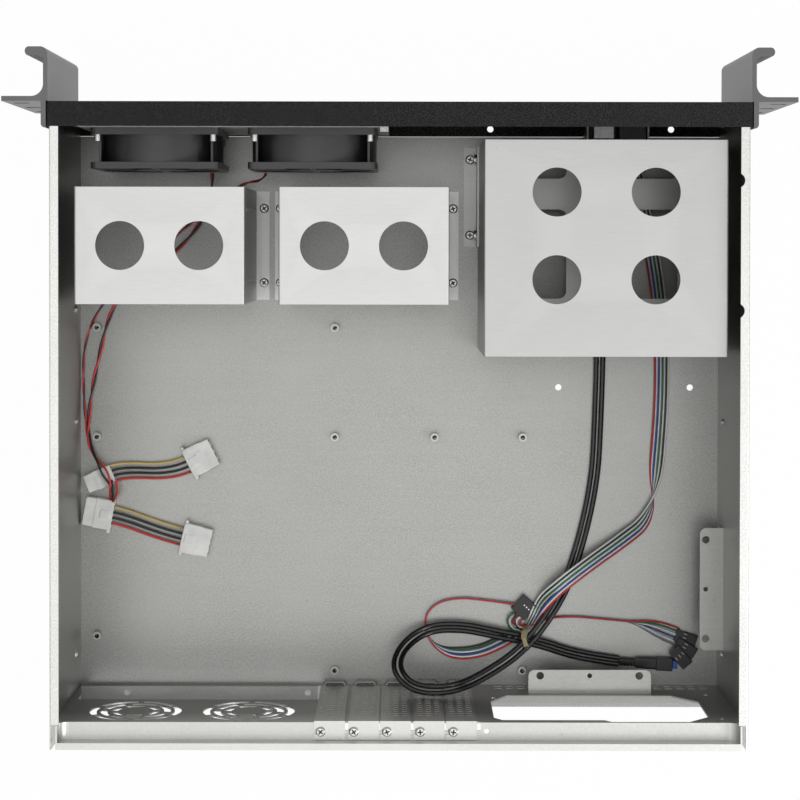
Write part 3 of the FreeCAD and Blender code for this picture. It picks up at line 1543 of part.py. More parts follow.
def make_psu_supports():
    """Two equal angles, on the rear wall and on the side wall, that a power supply rests on."""
    gauge = S.support_gauge
    low = S.psu_bottom - S.support_leg
    rear_line = [
        (rear_wall - S.support_flange, S.psu_bottom),
        (rear_wall, S.psu_bottom),
        (rear_wall, low),
    ]
    start = S.support_rear_x - S.support_long / 2
    mask_tall = S.psu_bottom - low + 2
    rear_angle = fold("psu_bracket_rear_sheet", "YZ", rear_line, -gauge, start, S.support_long)
    tip = rear_wall - S.support_flange
    corner = S.support_round
    mask = [
        (start, rear_wall + 1),
        (start, tip, corner),
        (start + S.support_long, tip, corner),
        (start + S.support_long, rear_wall + 1),
    ]
    bores = []
    hole_y = rear_wall - S.support_hole_in
    for index, step in enumerate((-1, 0, 1)):
        bore = S.support_pilot if step == 0 else S.support_bore
        x = S.support_rear_x + step * S.support_bore_pitch / 2
        bores.append(rod(f"support_rear_hole_{index}", "z", x, hole_y, S.psu_bottom - 4, bore, 8))
    rounded = common("psu_bracket_rear_round", rear_angle, prism("support_rear_mask", "XY", mask, low - 1, mask_tall))
    keep(cut("psu_bracket_rear", rounded, bores), "psu_bracket_rear")
    wall_x = -wall_inside
    side_line = [
        (wall_x + S.support_flange, S.psu_bottom),
        (wall_x, S.psu_bottom),
        (wall_x, low),
    ]
    start = S.support_side_y - S.support_long / 2
    side_angle = fold("psu_bracket_side_sheet", "XZ", side_line, gauge, start, S.support_long)
    tip = wall_x + S.support_flange
    mask = [
        (wall_x - 1, start),
        (tip, start, corner),
        (tip, start + S.support_long, corner),
        (wall_x - 1, start + S.support_long),
    ]
    bores = []
    for index, step in enumerate((-1, 0, 1)):
        bore = S.support_pilot if step == 0 else S.support_bore
        y = S.support_side_y + step * S.support_bore_pitch / 2
        bores.append(rod(f"support_side_hole_{index}", "z", wall_x + S.support_hole_in, y, S.psu_bottom - 4, bore, 8))
    rounded = common("psu_bracket_side_round", side_angle, prism("support_side_mask", "XY", mask, low - 1, mask_tall))
    keep(cut("psu_bracket_side", rounded, bores), "psu_bracket_side")


def common(name, base, tool):
    """What two shapes share."""
    result = doc.addObject("Part::Common", name)
    result.Base = base
    result.Tool = tool
    return result


def make_standoffs():
    """Threaded standoffs under the full-size board's hole grid, on the floor."""
    standoffs = []
    for index, (column, row) in enumerate(BOARD_HOLES):
        x = S.standoff_x - column
        y = rear_wall - S.standoff_y + row
        name = f"standoff_{index}"
        base = rod(name + "_round", "z", x, y, floor, S.standoff_flats, S.standoff_tall)
        hole = rod(name + "_thread", "z", x, y, floor + 1, S.standoff_bore, S.standoff_tall)
        standoffs.append(cut(name, base, [hole]))
    keep(group("board_standoffs", standoffs), "board_standoffs")


def make_bay_cover(number):
    """A plain blank that closes one front bay, stepped to seat behind the bezel."""
    label = f"bay_cover_{number + 1}"
    middle_z = bay_low(number) + S.bay_tall / 2
    plate = rectangle(S.cage_x, middle_z, S.bay_wide - 2 * S.fit_gap, S.bay_tall - 2 * S.fit_gap, 1)
    step = rectangle(S.cage_x, middle_z, S.bay_wide + 2 * S.bay_cover_lip, S.bay_tall + S.bay_rib - S.fit_gap)
    front_plate = prism(label + "_plate", "XZ", plate, face, S.bezel_gauge)
    back_plate = prism(label + "_step", "XZ", step, face + S.bezel_gauge, S.bezel_gauge)
    keep(fuse(label, [front_plate, back_plate]), label)


def make_controls():
    """The port and switch unit under the bays: its bracket, board, ports, switch block and buttons."""
    low = S.io_block_low
    inside_front = face + S.bezel_gauge
    left = S.io_block_x - S.io_block_wide / 2
    right = S.io_block_x + S.io_block_wide / 2
    gauge = S.sheet_gauge
    line = [
        (left, low + S.io_block_tall),
        (left, low),
        (right, low),
        (right, low + S.io_block_tall),
    ]
    keep(fold("control_bracket", "XZ", line, gauge, inside_front, S.io_block_depth), "control_bracket")
    board_low = low + gauge
    inset = gauge + S.seam
    board_long = S.io_block_depth - 2
    board = block(
        "control_board", left + inset, inside_front + 1, board_low, S.io_block_wide - 2 * inset, board_long, S.board_gauge
    )
    keep(board, "control_board")
    # A double-height port shell with a tongue for each port
    on_board = board_low + S.board_gauge
    can_left = S.usb_x - S.usb_wide / 2
    can_front = face + S.seam
    can_long = S.io_block_depth - S.can_short
    can = block("port_can", can_left, can_front, on_board, S.usb_wide, can_long, S.usb_tall)
    wall = S.can_wall
    tools = []
    tongues = []
    port_tall = (S.usb_tall - 3 * wall) / 2
    for port in range(2):
        z = on_board + wall + port * (port_tall + wall)
        space = S.usb_wide - 2 * wall
        tools.append(block(f"port_space_{port}", can_left + wall, can_front - 1, z, space, S.port_depth + 1, port_tall))
        tongue_z = z + port_tall / 2
        tongue_long = S.port_depth - 1
        tongues.append(
            block(f"port_tongue_{port}", can_left + 2 * wall, can_front + 1.5, tongue_z, space - 2 * wall, tongue_long, 1)
        )
    keep(fuse("usb_ports", [cut("port_shell", can, tools)] + tongues), "usb_ports")
    # Bored block that guides both buttons
    block_left = S.reset_x - S.switch_side
    block_wide = S.button_x + S.switch_side - block_left
    block_y = inside_front + S.switch_back
    height = S.button_z + S.button_bore - on_board
    body = block("switch_body", block_left, block_y, on_board, block_wide, S.switch_depth, height)
    bores = []
    keys = []
    keys.append(("power_button", S.button_x, S.button_z, S.button_bore))
    keys.append(("reset_button", S.reset_x, S.reset_z, S.reset_bore))
    for name, x, z, size in keys:
        stem = size * 0.6
        bores.append(rod(name + "_guide", "y", x, block_y - 1, z, stem + 2 * S.fit_gap, S.switch_depth + 2))
        cap_front = face - S.button_proud
        cap = rod(name + "_cap", "y", x, cap_front, z, size, S.button_cap)
        shaft = rod(name + "_stem", "y", x, cap_front + 1, z, stem, S.button_length)
        keep(fuse(name, [cap, shaft]), name)
    keep(cut("switch_block", body, bores), "switch_block")
    lamps = []
    for index, x in enumerate((S.button_x, S.reset_x)):
        length = S.bezel_gauge + S.switch_back
        lamps.append(rod(f"status_lamp_{index}", "y", x, face, S.lamp_z, S.lamp_bore - 2 * S.seam, length))
    keep(group("status_lamps", lamps), "status_lamps")


def make_rivets():
    """Blind rivets of the side walls, three on each side."""
    rivets = []
    for index, y in enumerate(RIVET_Y):
        head = doc.addObject("Part::Cone", f"rivet_{index}_head")
        head.Placement = FreeCAD.Placement(FreeCAD.Vector(), FreeCAD.Rotation(Y_AXIS, -90))
        bind(head, "Radius1", S.rivet_head / 2)
        bind(head, "Radius2", S.rivet_head / 4)
        bind(head, "Height", S.rivet_tall)
        place(head, wall_inside, y, S.rivet_z)
        shank = rod(f"rivet_{index}_shank", "x", wall_inside, y, S.rivet_z, S.rivet_head / 2, S.sheet_gauge)
        rivets.append(fuse(f"rivet_{index}", [head, shank]))
    mirrored = [mirror(f"rivet_{index + 3}", rivet) for index, rivet in enumerate(rivets)]
    keep(group("side_rivets", rivets + mirrored), "side_rivets")


def rounded_path(route):
    """Straight runs joined by tangent arcs, with each arc as large as its two runs allow."""
    points = [FreeCAD.Vector(*point) for point in route]
    runs = [after - before for before, after in zip(points, points[1:])]
    edges = []
    radii = []
    start = points[0]
    for corner, arriving, leaving in zip(points[1:], runs, runs[1:]):
        half_turn = arriving.getAngle(leaving) / 2
        cut_back = 0.45 * min(arriving.Length, leaving.Length)
        into = FreeCAD.Vector(arriving).normalize()
        out = FreeCAD.Vector(leaving).normalize()
        before = corner - into * cut_back
        after = corner + out * cut_back
        radius = cut_back / math.tan(half_turn)
        inwards = (out - into).normalize()
        middle = corner + inwards * (radius / math.cos(half_turn) - radius)
        edges.append(Part.LineSegment(start, before).toShape())
        edges.append(Part.Arc(before, middle, after).toShape())
        radii.append(round(radius, 1))
        start = after
    edges.append(Part.LineSegment(start, points[-1]).toShape())
    return edges, radii


def lead(name, route, size):
    """A round lead along a route."""
    edges, radii = rounded_path(route)
    path = doc.addObject("Part::Feature", name + "_path")
    path.Shape = Part.Wire(edges)
    ring = doc.addObject("Part::Circle", name + "_ring")
    start = FreeCAD.Vector(*route[0])
    way = FreeCAD.Vector(*route[1]) - start
    ring.Placement = FreeCAD.Placement(start, FreeCAD.Rotation(Z_AXIS, way))
    bind(ring, "Radius", size / 2)
    tube = doc.addObject("Part::Sweep", name)
    tube.Sections = [ring]
    tube.Spine = (path, [f"Edge{index + 1}" for index in range(len(edges))])
    tube.Solid = True
    LEADS.append((tube, path.Shape.Length, size, radii))
    return tube


LEADS = []


def beside(route, step):
    """A route that runs at one side of another, level with it."""
    flat = [FreeCAD.Vector(x, y, 0) for x, y, z in route]
    ways = [(after - before).normalize() for before, after in zip(flat, flat[1:])]
    shifted = []
    for index, (x, y, z) in enumerate(route):
        arriving = ways[max(index - 1, 0)]
        leaving = ways[min(index, len(ways) - 1)]
        across_way = (arriving + leaving).normalize()
        reach = step / math.cos(arriving.getAngle(leaving) / 2)
        shifted.append((x - across_way.y * reach, y + across_way.x * reach, z))
    return shifted


def turned_block(name, x, y, z, long, wide, tall, angle):
    """A box about the middle of its underside, turned about Z."""
    box = block(name, 0, 0, 0, long, wide, tall)
    box.Placement = FreeCAD.Placement(FreeCAD.Vector(), FreeCAD.Rotation(Z_AXIS, angle))
    ahead = math.cos(math.radians(angle))
    aside = math.sin(math.radians(angle))
    corner_x = x - long / 2 * ahead + wide / 2 * aside
    corner_y = y - long / 2 * aside - wide / 2 * ahead
    place(box, corner_x, corner_y, z)
    return box


def make_usb_leads():
    """The pair of leads from the front ports, and the plug that both end in."""
    half = S.usb_lead_pitch / 2
    for number, side in enumerate((-1, 1)):
        route = beside(USB_ROUTE, side * half.number)
        keep(lead(f"usb_lead_{number + 1}", route, S.usb_lead), f"usb_lead_{number + 1}")
    end_x, end_y, end_z = USB_ROUTE[-1]
    ahead = math.cos(math.radians(USB_PLUG_ANGLE))
    aside = math.sin(math.radians(USB_PLUG_ANGLE))
    reach = 0
    pieces = []
    for name in ("relief", "plug", "mouth"):
        long = SIZES[f"usb_{name}_long"]
        wide = SIZES[f"usb_{name}_wide"]
        tall = SIZES[f"usb_{name}_tall"]
        x = end_x + (reach + long / 2) * ahead
        y = end_y + (reach + long / 2) * aside
        low = end_z - tall / 2
        pieces.append(turned_block(f"usb_{name}_block", x, y, low, long, wide, tall, USB_PLUG_ANGLE))
        reach += long
    keep(fuse("usb_plug", pieces), "usb_plug")


def make_panel_leads():
    """The button and lamp wires, their tie, and the plugs that they end in."""
    keep(lead("panel_leads", PANEL_ROUTE, S.panel_bundle), "panel_leads")
    keep(lead("panel_loop", LOOP_ROUTE, S.small_bundle), "panel_loop")
    keep(lead("panel_branch", BRANCH_ROUTE, S.small_bundle), "panel_branch")
    x, y, angle = HEADER_PLACE
    plug = turned_block(
        "header_plug", x, y, S.plug_low, S.header_long, S.header_wide, S.header_tall, angle
    )
    keep(plug, "header_plug")
    plugs = []
    for index, (x, y, angle) in enumerate(CLUSTER_PLACES):
        low = S.plug_low + index * S.cluster_plug_step
        name = f"cluster_plug_{index}"
        plugs.append(
            turned_block(name, x, y, low, S.cluster_plug_long, S.cluster_plug_wide, S.cluster_plug_tall, angle)
        )
    keep(fuse("plug_cluster", plugs), "plug_cluster")
    x, y, angle = TIE_PLACE
    inner_long = S.tie_long - 2 * S.tie_gauge
    inner_tall = S.tie_tall - 2 * S.tie_gauge
    band = turned_block("tie_band", x, y, S.tie_low, S.tie_long, S.tie_wide, S.tie_tall, angle)
    inner_low = S.tie_low + S.tie_gauge
    through = 2 * S.tie_wide
    space = turned_block("tie_space", x, y, inner_low, inner_long, through, inner_tall, angle)
    ring = cut("cable_tie", band, [space])
    keep(ring, "cable_tie")


def make_fan_leads():
    """Each fan's own lead."""
    keep(lead("fan_lead_1", FAN_ROUTES[0], S.fan_pair), "fan_lead_1")
    keep(lead("fan_lead_2", FAN_ROUTES[1], S.fan_wire), "fan_lead_2")


def make_power_leads():
    """Four-pin power plugs in two pairs, each pair joined by four short wires."""
    for index, (x, y, angle, narrow) in enumerate(POWER_PLUGS):
        name = f"power_plug_{index + 1}"
        wide = S.power_plug_narrow if narrow else S.power_plug_wide
        ahead = math.cos(math.radians(angle))
        aside = math.sin(math.radians(angle))
        body_long = S.power_plug_long - S.power_plug_nose
        body_step = S.power_plug_nose / 2
        nose_step = body_long / 2
        grip = turned_block(
            name + "_grip",
            x + body_step * ahead,
            y + body_step * aside,
            S.plug_low,
            body_long,
            wide,
            S.power_plug_tall,
            angle,
        )
        nose = turned_block(
            name + "_nose",
            x - nose_step * ahead,
            y - nose_step * aside,
            S.plug_low + S.power_nose_inset,
            S.power_plug_nose,
            wide - 2 * S.power_nose_inset,
            S.power_plug_tall - 2 * S.power_nose_inset,
            angle,
        )
        keep(fuse(name, [grip, nose]), name)
    for pair in range(2):
        near = POWER_PLUGS[2 * pair]
        far = POWER_PLUGS[2 * pair + 1]
        wires = []
        for index in range(4):
            step = (index - 1.5) * SIZES["power_wire_pitch"]
            start, leaving = plug_mouth(near, step)
            end, arriving = plug_mouth(far, -step)
            bend = SIZES["power_wire_straight"]
            low = start[2] - SIZES["power_wire_sag"]
            route = (
                start,
                (start[0] + leaving[0] * bend, start[1] + leaving[1] * bend, low),
                (end[0] + arriving[0] * bend, end[1] + arriving[1] * bend, low),
                end,
            )
            wires.append(lead(f"power_wire_{pair}_{index}", route, S.power_wire))
        keep(group(f"power_wires_{pair + 1}", wires), f"power_wires_{pair + 1}")


def plug_mouth(plug, step):
    """Where one wire leaves a power plug, and which way, a step to the left of the plug's middle."""
    x, y, angle, narrow = plug
    ahead = math.cos(math.radians(angle))
    aside = math.sin(math.radians(angle))
    reach = SIZES["power_plug_long"] / 2
    height = SIZES["plug_low"] + SIZES["power_plug_tall"] / 2
    return (x + reach * ahead - step * aside, y + reach * aside + step * ahead, height), (ahead, aside)


def report_leads():
    """Prints each lead's bends and compares its volume with its section times its length."""
    for tube, length, size, radii in LEADS:
        expected = math.pi * (size.number / 2) ** 2 * length
        ratio = tube.Shape.Volume / expected
        print(f"{tube.Name}: {length:.1f} long, radii {radii}, volume ratio {ratio:.4f}")
        if abs(ratio - 1) > 0.01:
            raise RuntimeError(f"{tube.Name} has the wrong volume")


def write_parts():
    """Checks every object and writes each node's solid."""
    doc.recompute()
    for item in doc.Objects:
        if "Invalid" in item.State or "Error" in item.State:
            raise RuntimeError(f"{item.Label} did not recompute: {item.State}")
    os.makedirs("parts", exist_ok=True)
    for item in NODES:
        shape = item.Shape
        if shape.isNull() or not shape.isValid():
            raise RuntimeError(f"{item.Label} has no valid shape")
        shape.exportStep(os.path.join("parts", item.Label + ".step"))


fill_sheet()
make_tray()
make_rear_panel()
for slot in range(SIZES["slot_count"]):
    make_cover(slot)
make_cover_screws()
make_bezel()
make_handle()
make_handle_screws()
make_fan_plate()
for fan in range(2):
    make_fan_frame(fan)
    make_fan_rotor(fan)
make_fan_screws()
make_disk_bracket("disk_bracket_outer", S.disk_outer_x)
make_disk_bracket("disk_bracket_inner", S.disk_inner_x)
make_disk_screws()
make_drive_cage()
make_cage_angle("cage_angle_inner", 1)
make_cage_angle("cage_angle_outer", -1)
make_cage_screws()
make_psu_supports()
make_standoffs()
for bay in range(2):
    make_bay_cover(bay)
make_controls()
make_rivets()
make_usb_leads()
make_panel_leads()
make_fan_leads()
make_power_leads()
write_parts()
report_leads()
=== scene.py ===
import math

import bmesh
import bpy
import numpy as np
from mathutils import Matrix, Vector


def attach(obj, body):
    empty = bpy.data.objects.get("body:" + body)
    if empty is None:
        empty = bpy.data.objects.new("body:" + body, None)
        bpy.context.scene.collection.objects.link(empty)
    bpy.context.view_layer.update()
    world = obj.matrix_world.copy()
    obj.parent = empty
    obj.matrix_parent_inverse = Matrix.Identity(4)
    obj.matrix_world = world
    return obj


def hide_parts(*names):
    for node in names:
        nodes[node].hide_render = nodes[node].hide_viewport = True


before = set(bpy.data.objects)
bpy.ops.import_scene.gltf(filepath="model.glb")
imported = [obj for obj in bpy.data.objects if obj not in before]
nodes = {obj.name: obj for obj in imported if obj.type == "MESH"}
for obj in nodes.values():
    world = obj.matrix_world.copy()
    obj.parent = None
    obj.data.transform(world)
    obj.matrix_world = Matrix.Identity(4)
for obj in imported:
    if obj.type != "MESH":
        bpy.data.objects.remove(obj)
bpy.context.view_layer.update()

collection = bpy.context.scene.collection
FLOOR = 0.001  # top of the case's floor
BRIM = 0.132  # top edges of its walls


# ---------------------------------------------------------------- camera, lamps and stage

def make_camera():
    """Looks down on the open case, a degree off plumb towards the rear, front edge uppermost."""
    data = bpy.data.cameras.new("camera")
    data.lens = 101.862
    data.sensor_width = 36
    data.shift_y = -0.14493
    data.dof.use_dof = False
    camera = bpy.data.objects.new("camera", data)
    camera.location = (-0.00024, -0.0937, 1.50353)
    camera.rotation_euler = (-0.01721, 0, math.pi + 0.00169)
    collection.objects.link(camera)
    bpy.context.scene.camera = camera


def make_lamp(name, place, target, size, power):
    data = bpy.data.lights.new(name, "AREA")
    data.shape = "RECTANGLE"
    data.size = size[0]
    data.size_y = size[1]
    data.energy = power
    lamp = bpy.data.objects.new(name, data)
    lamp.location = place
    way = Vector(target) - Vector(place)
    lamp.rotation_euler = way.to_track_quat("-Z", "Y").to_euler()
    collection.objects.link(lamp)


def seen_rays(tree):
    """1 for camera, reflected and transmitted rays, and 0 for the rays that light the object."""
    path = add(tree, "ShaderNodeLightPath")
    seen = maths(tree, "MAXIMUM", path.outputs["Is Camera Ray"], path.outputs["Is Glossy Ray"])
    return maths(tree, "MAXIMUM", seen, path.outputs["Is Transmission Ray"])


def make_stage():
    """A pale floor that shows white to the camera and to reflections, and keeps the object's shadow."""
    material, tree, shader = new_material("stage_floor")
    shader.inputs["Base Color"].default_value = (0.93, 0.93, 0.93, 1)
    shader.inputs["Roughness"].default_value = 0.9
    glow = add(tree, "ShaderNodeEmission")
    glow.inputs["Strength"].default_value = 1
    share = maths(tree, "MULTIPLY", seen_rays(tree), 0.98)
    mix = add(tree, "ShaderNodeMixShader")
    tree.links.new(share, mix.inputs["Fac"])
    tree.links.new(shader.outputs[0], mix.inputs[1])
    tree.links.new(glow.outputs[0], mix.inputs[2])
    tree.links.new(mix.outputs[0], tree.nodes["Material Output"].inputs["Surface"])
    mesh = bpy.data.meshes.new("stage_floor")
    reach = 6
    low = -0.0004
    corners = [(-reach, -reach, low), (reach, -reach, low), (reach, reach, low), (-reach, reach, low)]
    mesh.from_pydata(corners, [], [(0, 1, 2, 3)])
    mesh.materials.append(material)
    floor = bpy.data.objects.new("stage_floor", mesh)
    collection.objects.link(floor)


def make_world():
    """A white sky, at full strength where it is seen and weaker where it lights the object."""
    world = bpy.data.worlds.new("studio")
    bpy.context.scene.world = world
    world.use_nodes = True
    tree = world.node_tree
    sky = tree.nodes["Background"]
    sky.inputs["Color"].default_value = (1, 1, 1, 1)
    strength = maths(tree, "ADD", maths(tree, "MULTIPLY", seen_rays(tree), 0.62), 0.38)
    tree.links.new(strength, sky.inputs["Strength"])


# ---------------------------------------------------------------- node helpers

def new_material(name):
    material = bpy.data.materials.new(name)
    material.use_nodes = True
    tree = material.node_tree
    return material, tree, tree.nodes["Principled BSDF"]


def add(tree, kind, **values):
    made = tree.nodes.new(kind)
    for key, value in values.items():
        setattr(made, key, value)
    return made


def plug_in(tree, socket, value):
    if isinstance(value, bpy.types.NodeSocket):
        tree.links.new(value, socket)
    else:
        socket.default_value = value


def maths(tree, operation, first, second=0.5):
    made = add(tree, "ShaderNodeMath", operation=operation)
    plug_in(tree, made.inputs[0], first)
    plug_in(tree, made.inputs[1], second)
    return made.outputs[0]


def place_of(tree, stretch=(1, 1, 1)):
    """The point on the object in metres, stretched along its axes."""
    spot = add(tree, "ShaderNodeTexCoord")
    mapping = add(tree, "ShaderNodeMapping")
    mapping.inputs["Scale"].default_value = stretch
    tree.links.new(spot.outputs["Object"], mapping.inputs["Vector"])
    return mapping.outputs[0]


def height_of(tree):
    """How high up the case a point is: 0 at its floor and 1 at its top edges."""
    parts = add(tree, "ShaderNodeSeparateXYZ")
    tree.links.new(place_of(tree), parts.inputs[0])
    return level(tree, parts.outputs["Z"], 0, 1, 0.002, BRIM)


def noise(tree, grain, stretch=(1, 1, 1), detail=3, rough=0.5):
    """Noise whose features are about grain metres across."""
    made = add(tree, "ShaderNodeTexNoise")
    made.inputs["Scale"].default_value = 1 / grain
    made.inputs["Detail"].default_value = detail
    made.inputs["Roughness"].default_value = rough
    tree.links.new(place_of(tree, stretch), made.inputs["Vector"])
    return made.outputs["Fac"]


def ramp(tree, value, stops):
    made = add(tree, "ShaderNodeValToRGB")
    band = made.color_ramp
    while len(band.elements) < len(stops):
        band.elements.new(0.5)
    for element, (at, colour) in zip(band.elements, stops):
        element.position = at
        element.color = colour if len(colour) == 4 else (*colour, 1)
    plug_in(tree, made.inputs[0], value)
    return made.outputs[0]


def grey(tone):
    return (tone, tone, tone)


def blend(tree, share, first, second, mode="MIX"):
    made = add(tree, "ShaderNodeMix", data_type="RGBA", blend_type=mode)
    plug_in(tree, made.inputs[0], share)
    plug_in(tree, made.inputs[6], first if isinstance(first, bpy.types.NodeSocket) else (*first, 1))
    plug_in(tree, made.inputs[7], second if isinstance(second, bpy.types.NodeSocket) else (*second, 1))
    return made.outputs[2]


def level(tree, value, low, high, from_low=0.3, from_high=0.7):
    """A value moved from its usual range to another."""
    made = add(tree, "ShaderNodeMapRange")
    plug_in(tree, made.inputs["Value"], value)
    made.inputs["From Min"].default_value = from_low
    made.inputs["From Max"].default_value = from_high
    made.inputs["To Min"].default_value = low
    made.inputs["To Max"].default_value = high
    return made.outputs[0]


def bump(tree, shader, height, strength, depth):
    made = add(tree, "ShaderNodeBump")
    made.inputs["Strength"].default_value = strength
    made.inputs["Distance"].default_value = depth
    plug_in(tree, made.inputs["Height"], height)
    tree.links.new(made.outputs[0], shader.inputs["Normal"])


def specks(tree, spacing, size):
    """Sparse small round marks: 1 in a mark and 0 elsewhere."""
    made = add(tree, "ShaderNodeTexVoronoi")
    made.inputs["Scale"].default_value = 1 / spacing
    tree.links.new(place_of(tree), made.inputs["Vector"])
    return level(tree, made.outputs["Distance"], 1, 0, size * 0.6, size)


# ---------------------------------------------------------------- materials

def zinc(name, tone, speckle, rough, deep_shade_level=1.0):
    """Hot-dipped sheet steel: speckled bloom, faint rolling streaks, darker marks, and painted shade deep
    down in the case.
    """
    material, tree, shader = new_material(name)
    fine = noise(tree, 0.0011, detail=4, rough=0.75)
    flake = add(tree, "ShaderNodeTexVoronoi")
    flake.inputs["Scale"].default_value = 1 / 0.0016
    tree.links.new(place_of(tree), flake.inputs["Vector"])
    cloud = noise(tree, 0.045, detail=3)
    streak = noise(tree, 0.003, stretch=(0.04, 1, 1), detail=2)
    low = grey(tone * (1 - speckle))
    high = grey(tone * (1 + speckle * 0.8))
    colour = ramp(tree, fine, [(0.3, low), (0.7, high)])
    facets = add(tree, "ShaderNodeSeparateColor")
    tree.links.new(flake.outputs["Color"], facets.inputs[0])
    colour = blend(tree, level(tree, facets.outputs[0], 0, 0.2, 0, 1), colour, grey(tone * 0.72))
    colour = blend(tree, level(tree, cloud, 0, 0.3), colour, grey(tone * 1.08))
    colour = blend(tree, level(tree, streak, 0, 0.16), colour, grey(tone * 0.8))
    marks = specks(tree, 0.023, 0.05)
    colour = blend(tree, maths(tree, "MULTIPLY", marks, 0.35), colour, grey(tone * 0.6))
    # Painted shade: the sheet is darkened lower down in the case and reaches full tone only at its top edges,
    # where the light falls in. The last argument sets how light this painted shade is near the floor.
    shade = ramp(tree, height_of(tree), [(0, grey(0.5 * deep_shade_level)), (0.7, grey(0.46 * deep_shade_level)), (0.96, grey(1.0))])
    colour = blend(tree, 1.0, colour, shade, "MULTIPLY")
    warm = blend(tree, 1.0, colour, (1, 1, 0.965), "MULTIPLY")
    tree.links.new(warm, shader.inputs["Base Color"])
    shader.inputs["Metallic"].default_value = 1
    tree.links.new(level(tree, fine, rough - 0.07, rough + 0.09), shader.inputs["Roughness"])
    bump(tree, shader, fine, 0.3, 0.00015)
    return material


def satin(name, tone, rough):
    """Pale passivated sheet: a soft fine grain one way, small marks, and a painted highlight along its edges.
    """
    material, tree, shader = new_material(name)
    grain = noise(tree, 0.0012, stretch=(0.12, 1, 1), detail=3, rough=0.6)
    fine = noise(tree, 0.0005, detail=2)
    cloud = noise(tree, 0.06, detail=2)
    colour = ramp(tree, grain, [(0.3, grey(tone * 0.95)), (0.7, grey(tone * 1.03))])
    colour = blend(tree, level(tree, cloud, 0, 0.35), colour, grey(tone * 0.92))
    marks = specks(tree, 0.031, 0.035)
    colour = blend(tree, maths(tree, "MULTIPLY", marks, 0.3), colour, grey(tone * 0.66))
    edge = add(tree, "ShaderNodeNewGeometry")
    # Painted highlight: sharp edges are lightened in the colour, as if they caught the light.
    edge_highlight = level(tree, edge.outputs["Pointiness"], 0, 0.5, 0.54, 0.62)
    colour = blend(tree, edge_highlight, colour, grey(min(1, tone * 1.25)))
    warm = blend(tree, 1.0, colour, (1, 0.995, 0.985), "MULTIPLY")
    tree.links.new(warm, shader.inputs["Base Color"])
    shader.inputs["Metallic"].default_value = 1
    tree.links.new(level(tree, fine, rough - 0.05, rough + 0.06), shader.inputs["Roughness"])
    bump(tree, shader, maths(tree, "ADD", fine, grain), 0.08, 0.0001)
    return material


def powder(name, tone, rough):
    """Black powder paint with fine orange peel and a few bright grains painted in as glints."""
    material, tree, shader = new_material(name)
    peel = noise(tree, 0.0011, detail=2, rough=0.6)
    fine = noise(tree, 0.00035, detail=2)
    # The brightest grains of this ramp are painted glints.
    colour = ramp(tree, fine, [(0.3, grey(tone * 0.6)), (0.55, grey(tone)), (0.66, grey(tone * 30))])
    tree.links.new(colour, shader.inputs["Base Color"])
    tree.links.new(level(tree, peel, rough - 0.08, rough + 0.08), shader.inputs["Roughness"])
    shader.inputs["Specular IOR Level"].default_value = 0.16
    bump(tree, shader, maths(tree, "ADD", peel, fine), 0.8, 0.0004)
    return material


def anodised(name, tone, rough):
    """Dark anodised aluminium with a bead-blasted grain."""
    material, tree, shader = new_material(name)
    fine = noise(tree, 0.0004, detail=3, rough=0.6)
    cloud = noise(tree, 0.02, detail=2)
    colour = ramp(tree, fine, [(0.3, grey(tone * 0.85)), (0.7, grey(tone * 1.12))])
    colour = blend(tree, level(tree, cloud, 0, 0.3), colour, grey(tone * 1.15))
    tree.links.new(colour, shader.inputs["Base Color"])
    shader.inputs["Metallic"].default_value = 0.85
    tree.links.new(level(tree, fine, rough - 0.05, rough + 0.08), shader.inputs["Roughness"])
    bump(tree, shader, fine, 0.15, 0.0001)
    return material


def moulded(name, colour, rough, glow=0.0):
    """Moulded plastic: slight mottling and a fine spark-eroded skin."""
    material, tree, shader = new_material(name)
    fine = noise(tree, 0.0006, detail=2)
    cloud = noise(tree, 0.012, detail=2)
    darker = tuple(part * 0.86 for part in colour)
    lighter = tuple(min(1, part * 1.08) for part in colour)
    skin = ramp(tree, cloud, [(0.3, darker), (0.7, lighter)])
    tree.links.new(skin, shader.inputs["Base Color"])
    tree.links.new(level(tree, fine, rough - 0.06, rough + 0.08), shader.inputs["Roughness"])
    if glow:
        shader.inputs["Subsurface Weight"].default_value = glow
        shader.inputs["Subsurface Radius"].default_value = (0.003, 0.003, 0.003)
        shader.inputs["Subsurface Scale"].default_value = 0.5
    bump(tree, shader, fine, 0.15, 0.0001)
    return material


def plated(name, tone, rough):
    """Bright plated steel for screws and contacts, dulled where it has been turned."""
    material, tree, shader = new_material(name)
    fine = noise(tree, 0.0005, detail=2)
    cloud = noise(tree, 0.003, detail=2)
    colour = ramp(tree, cloud, [(0.3, grey(tone * 0.75)), (0.7, grey(tone))])
    tree.links.new(colour, shader.inputs["Base Color"])
    shader.inputs["Metallic"].default_value = 1
    tree.links.new(level(tree, fine, rough - 0.08, rough + 0.1), shader.inputs["Roughness"])
    bump(tree, shader, fine, 0.15, 0.0001)
    return material


ZINC = zinc("zinc_sheet", 0.6, 0.34, 0.36)
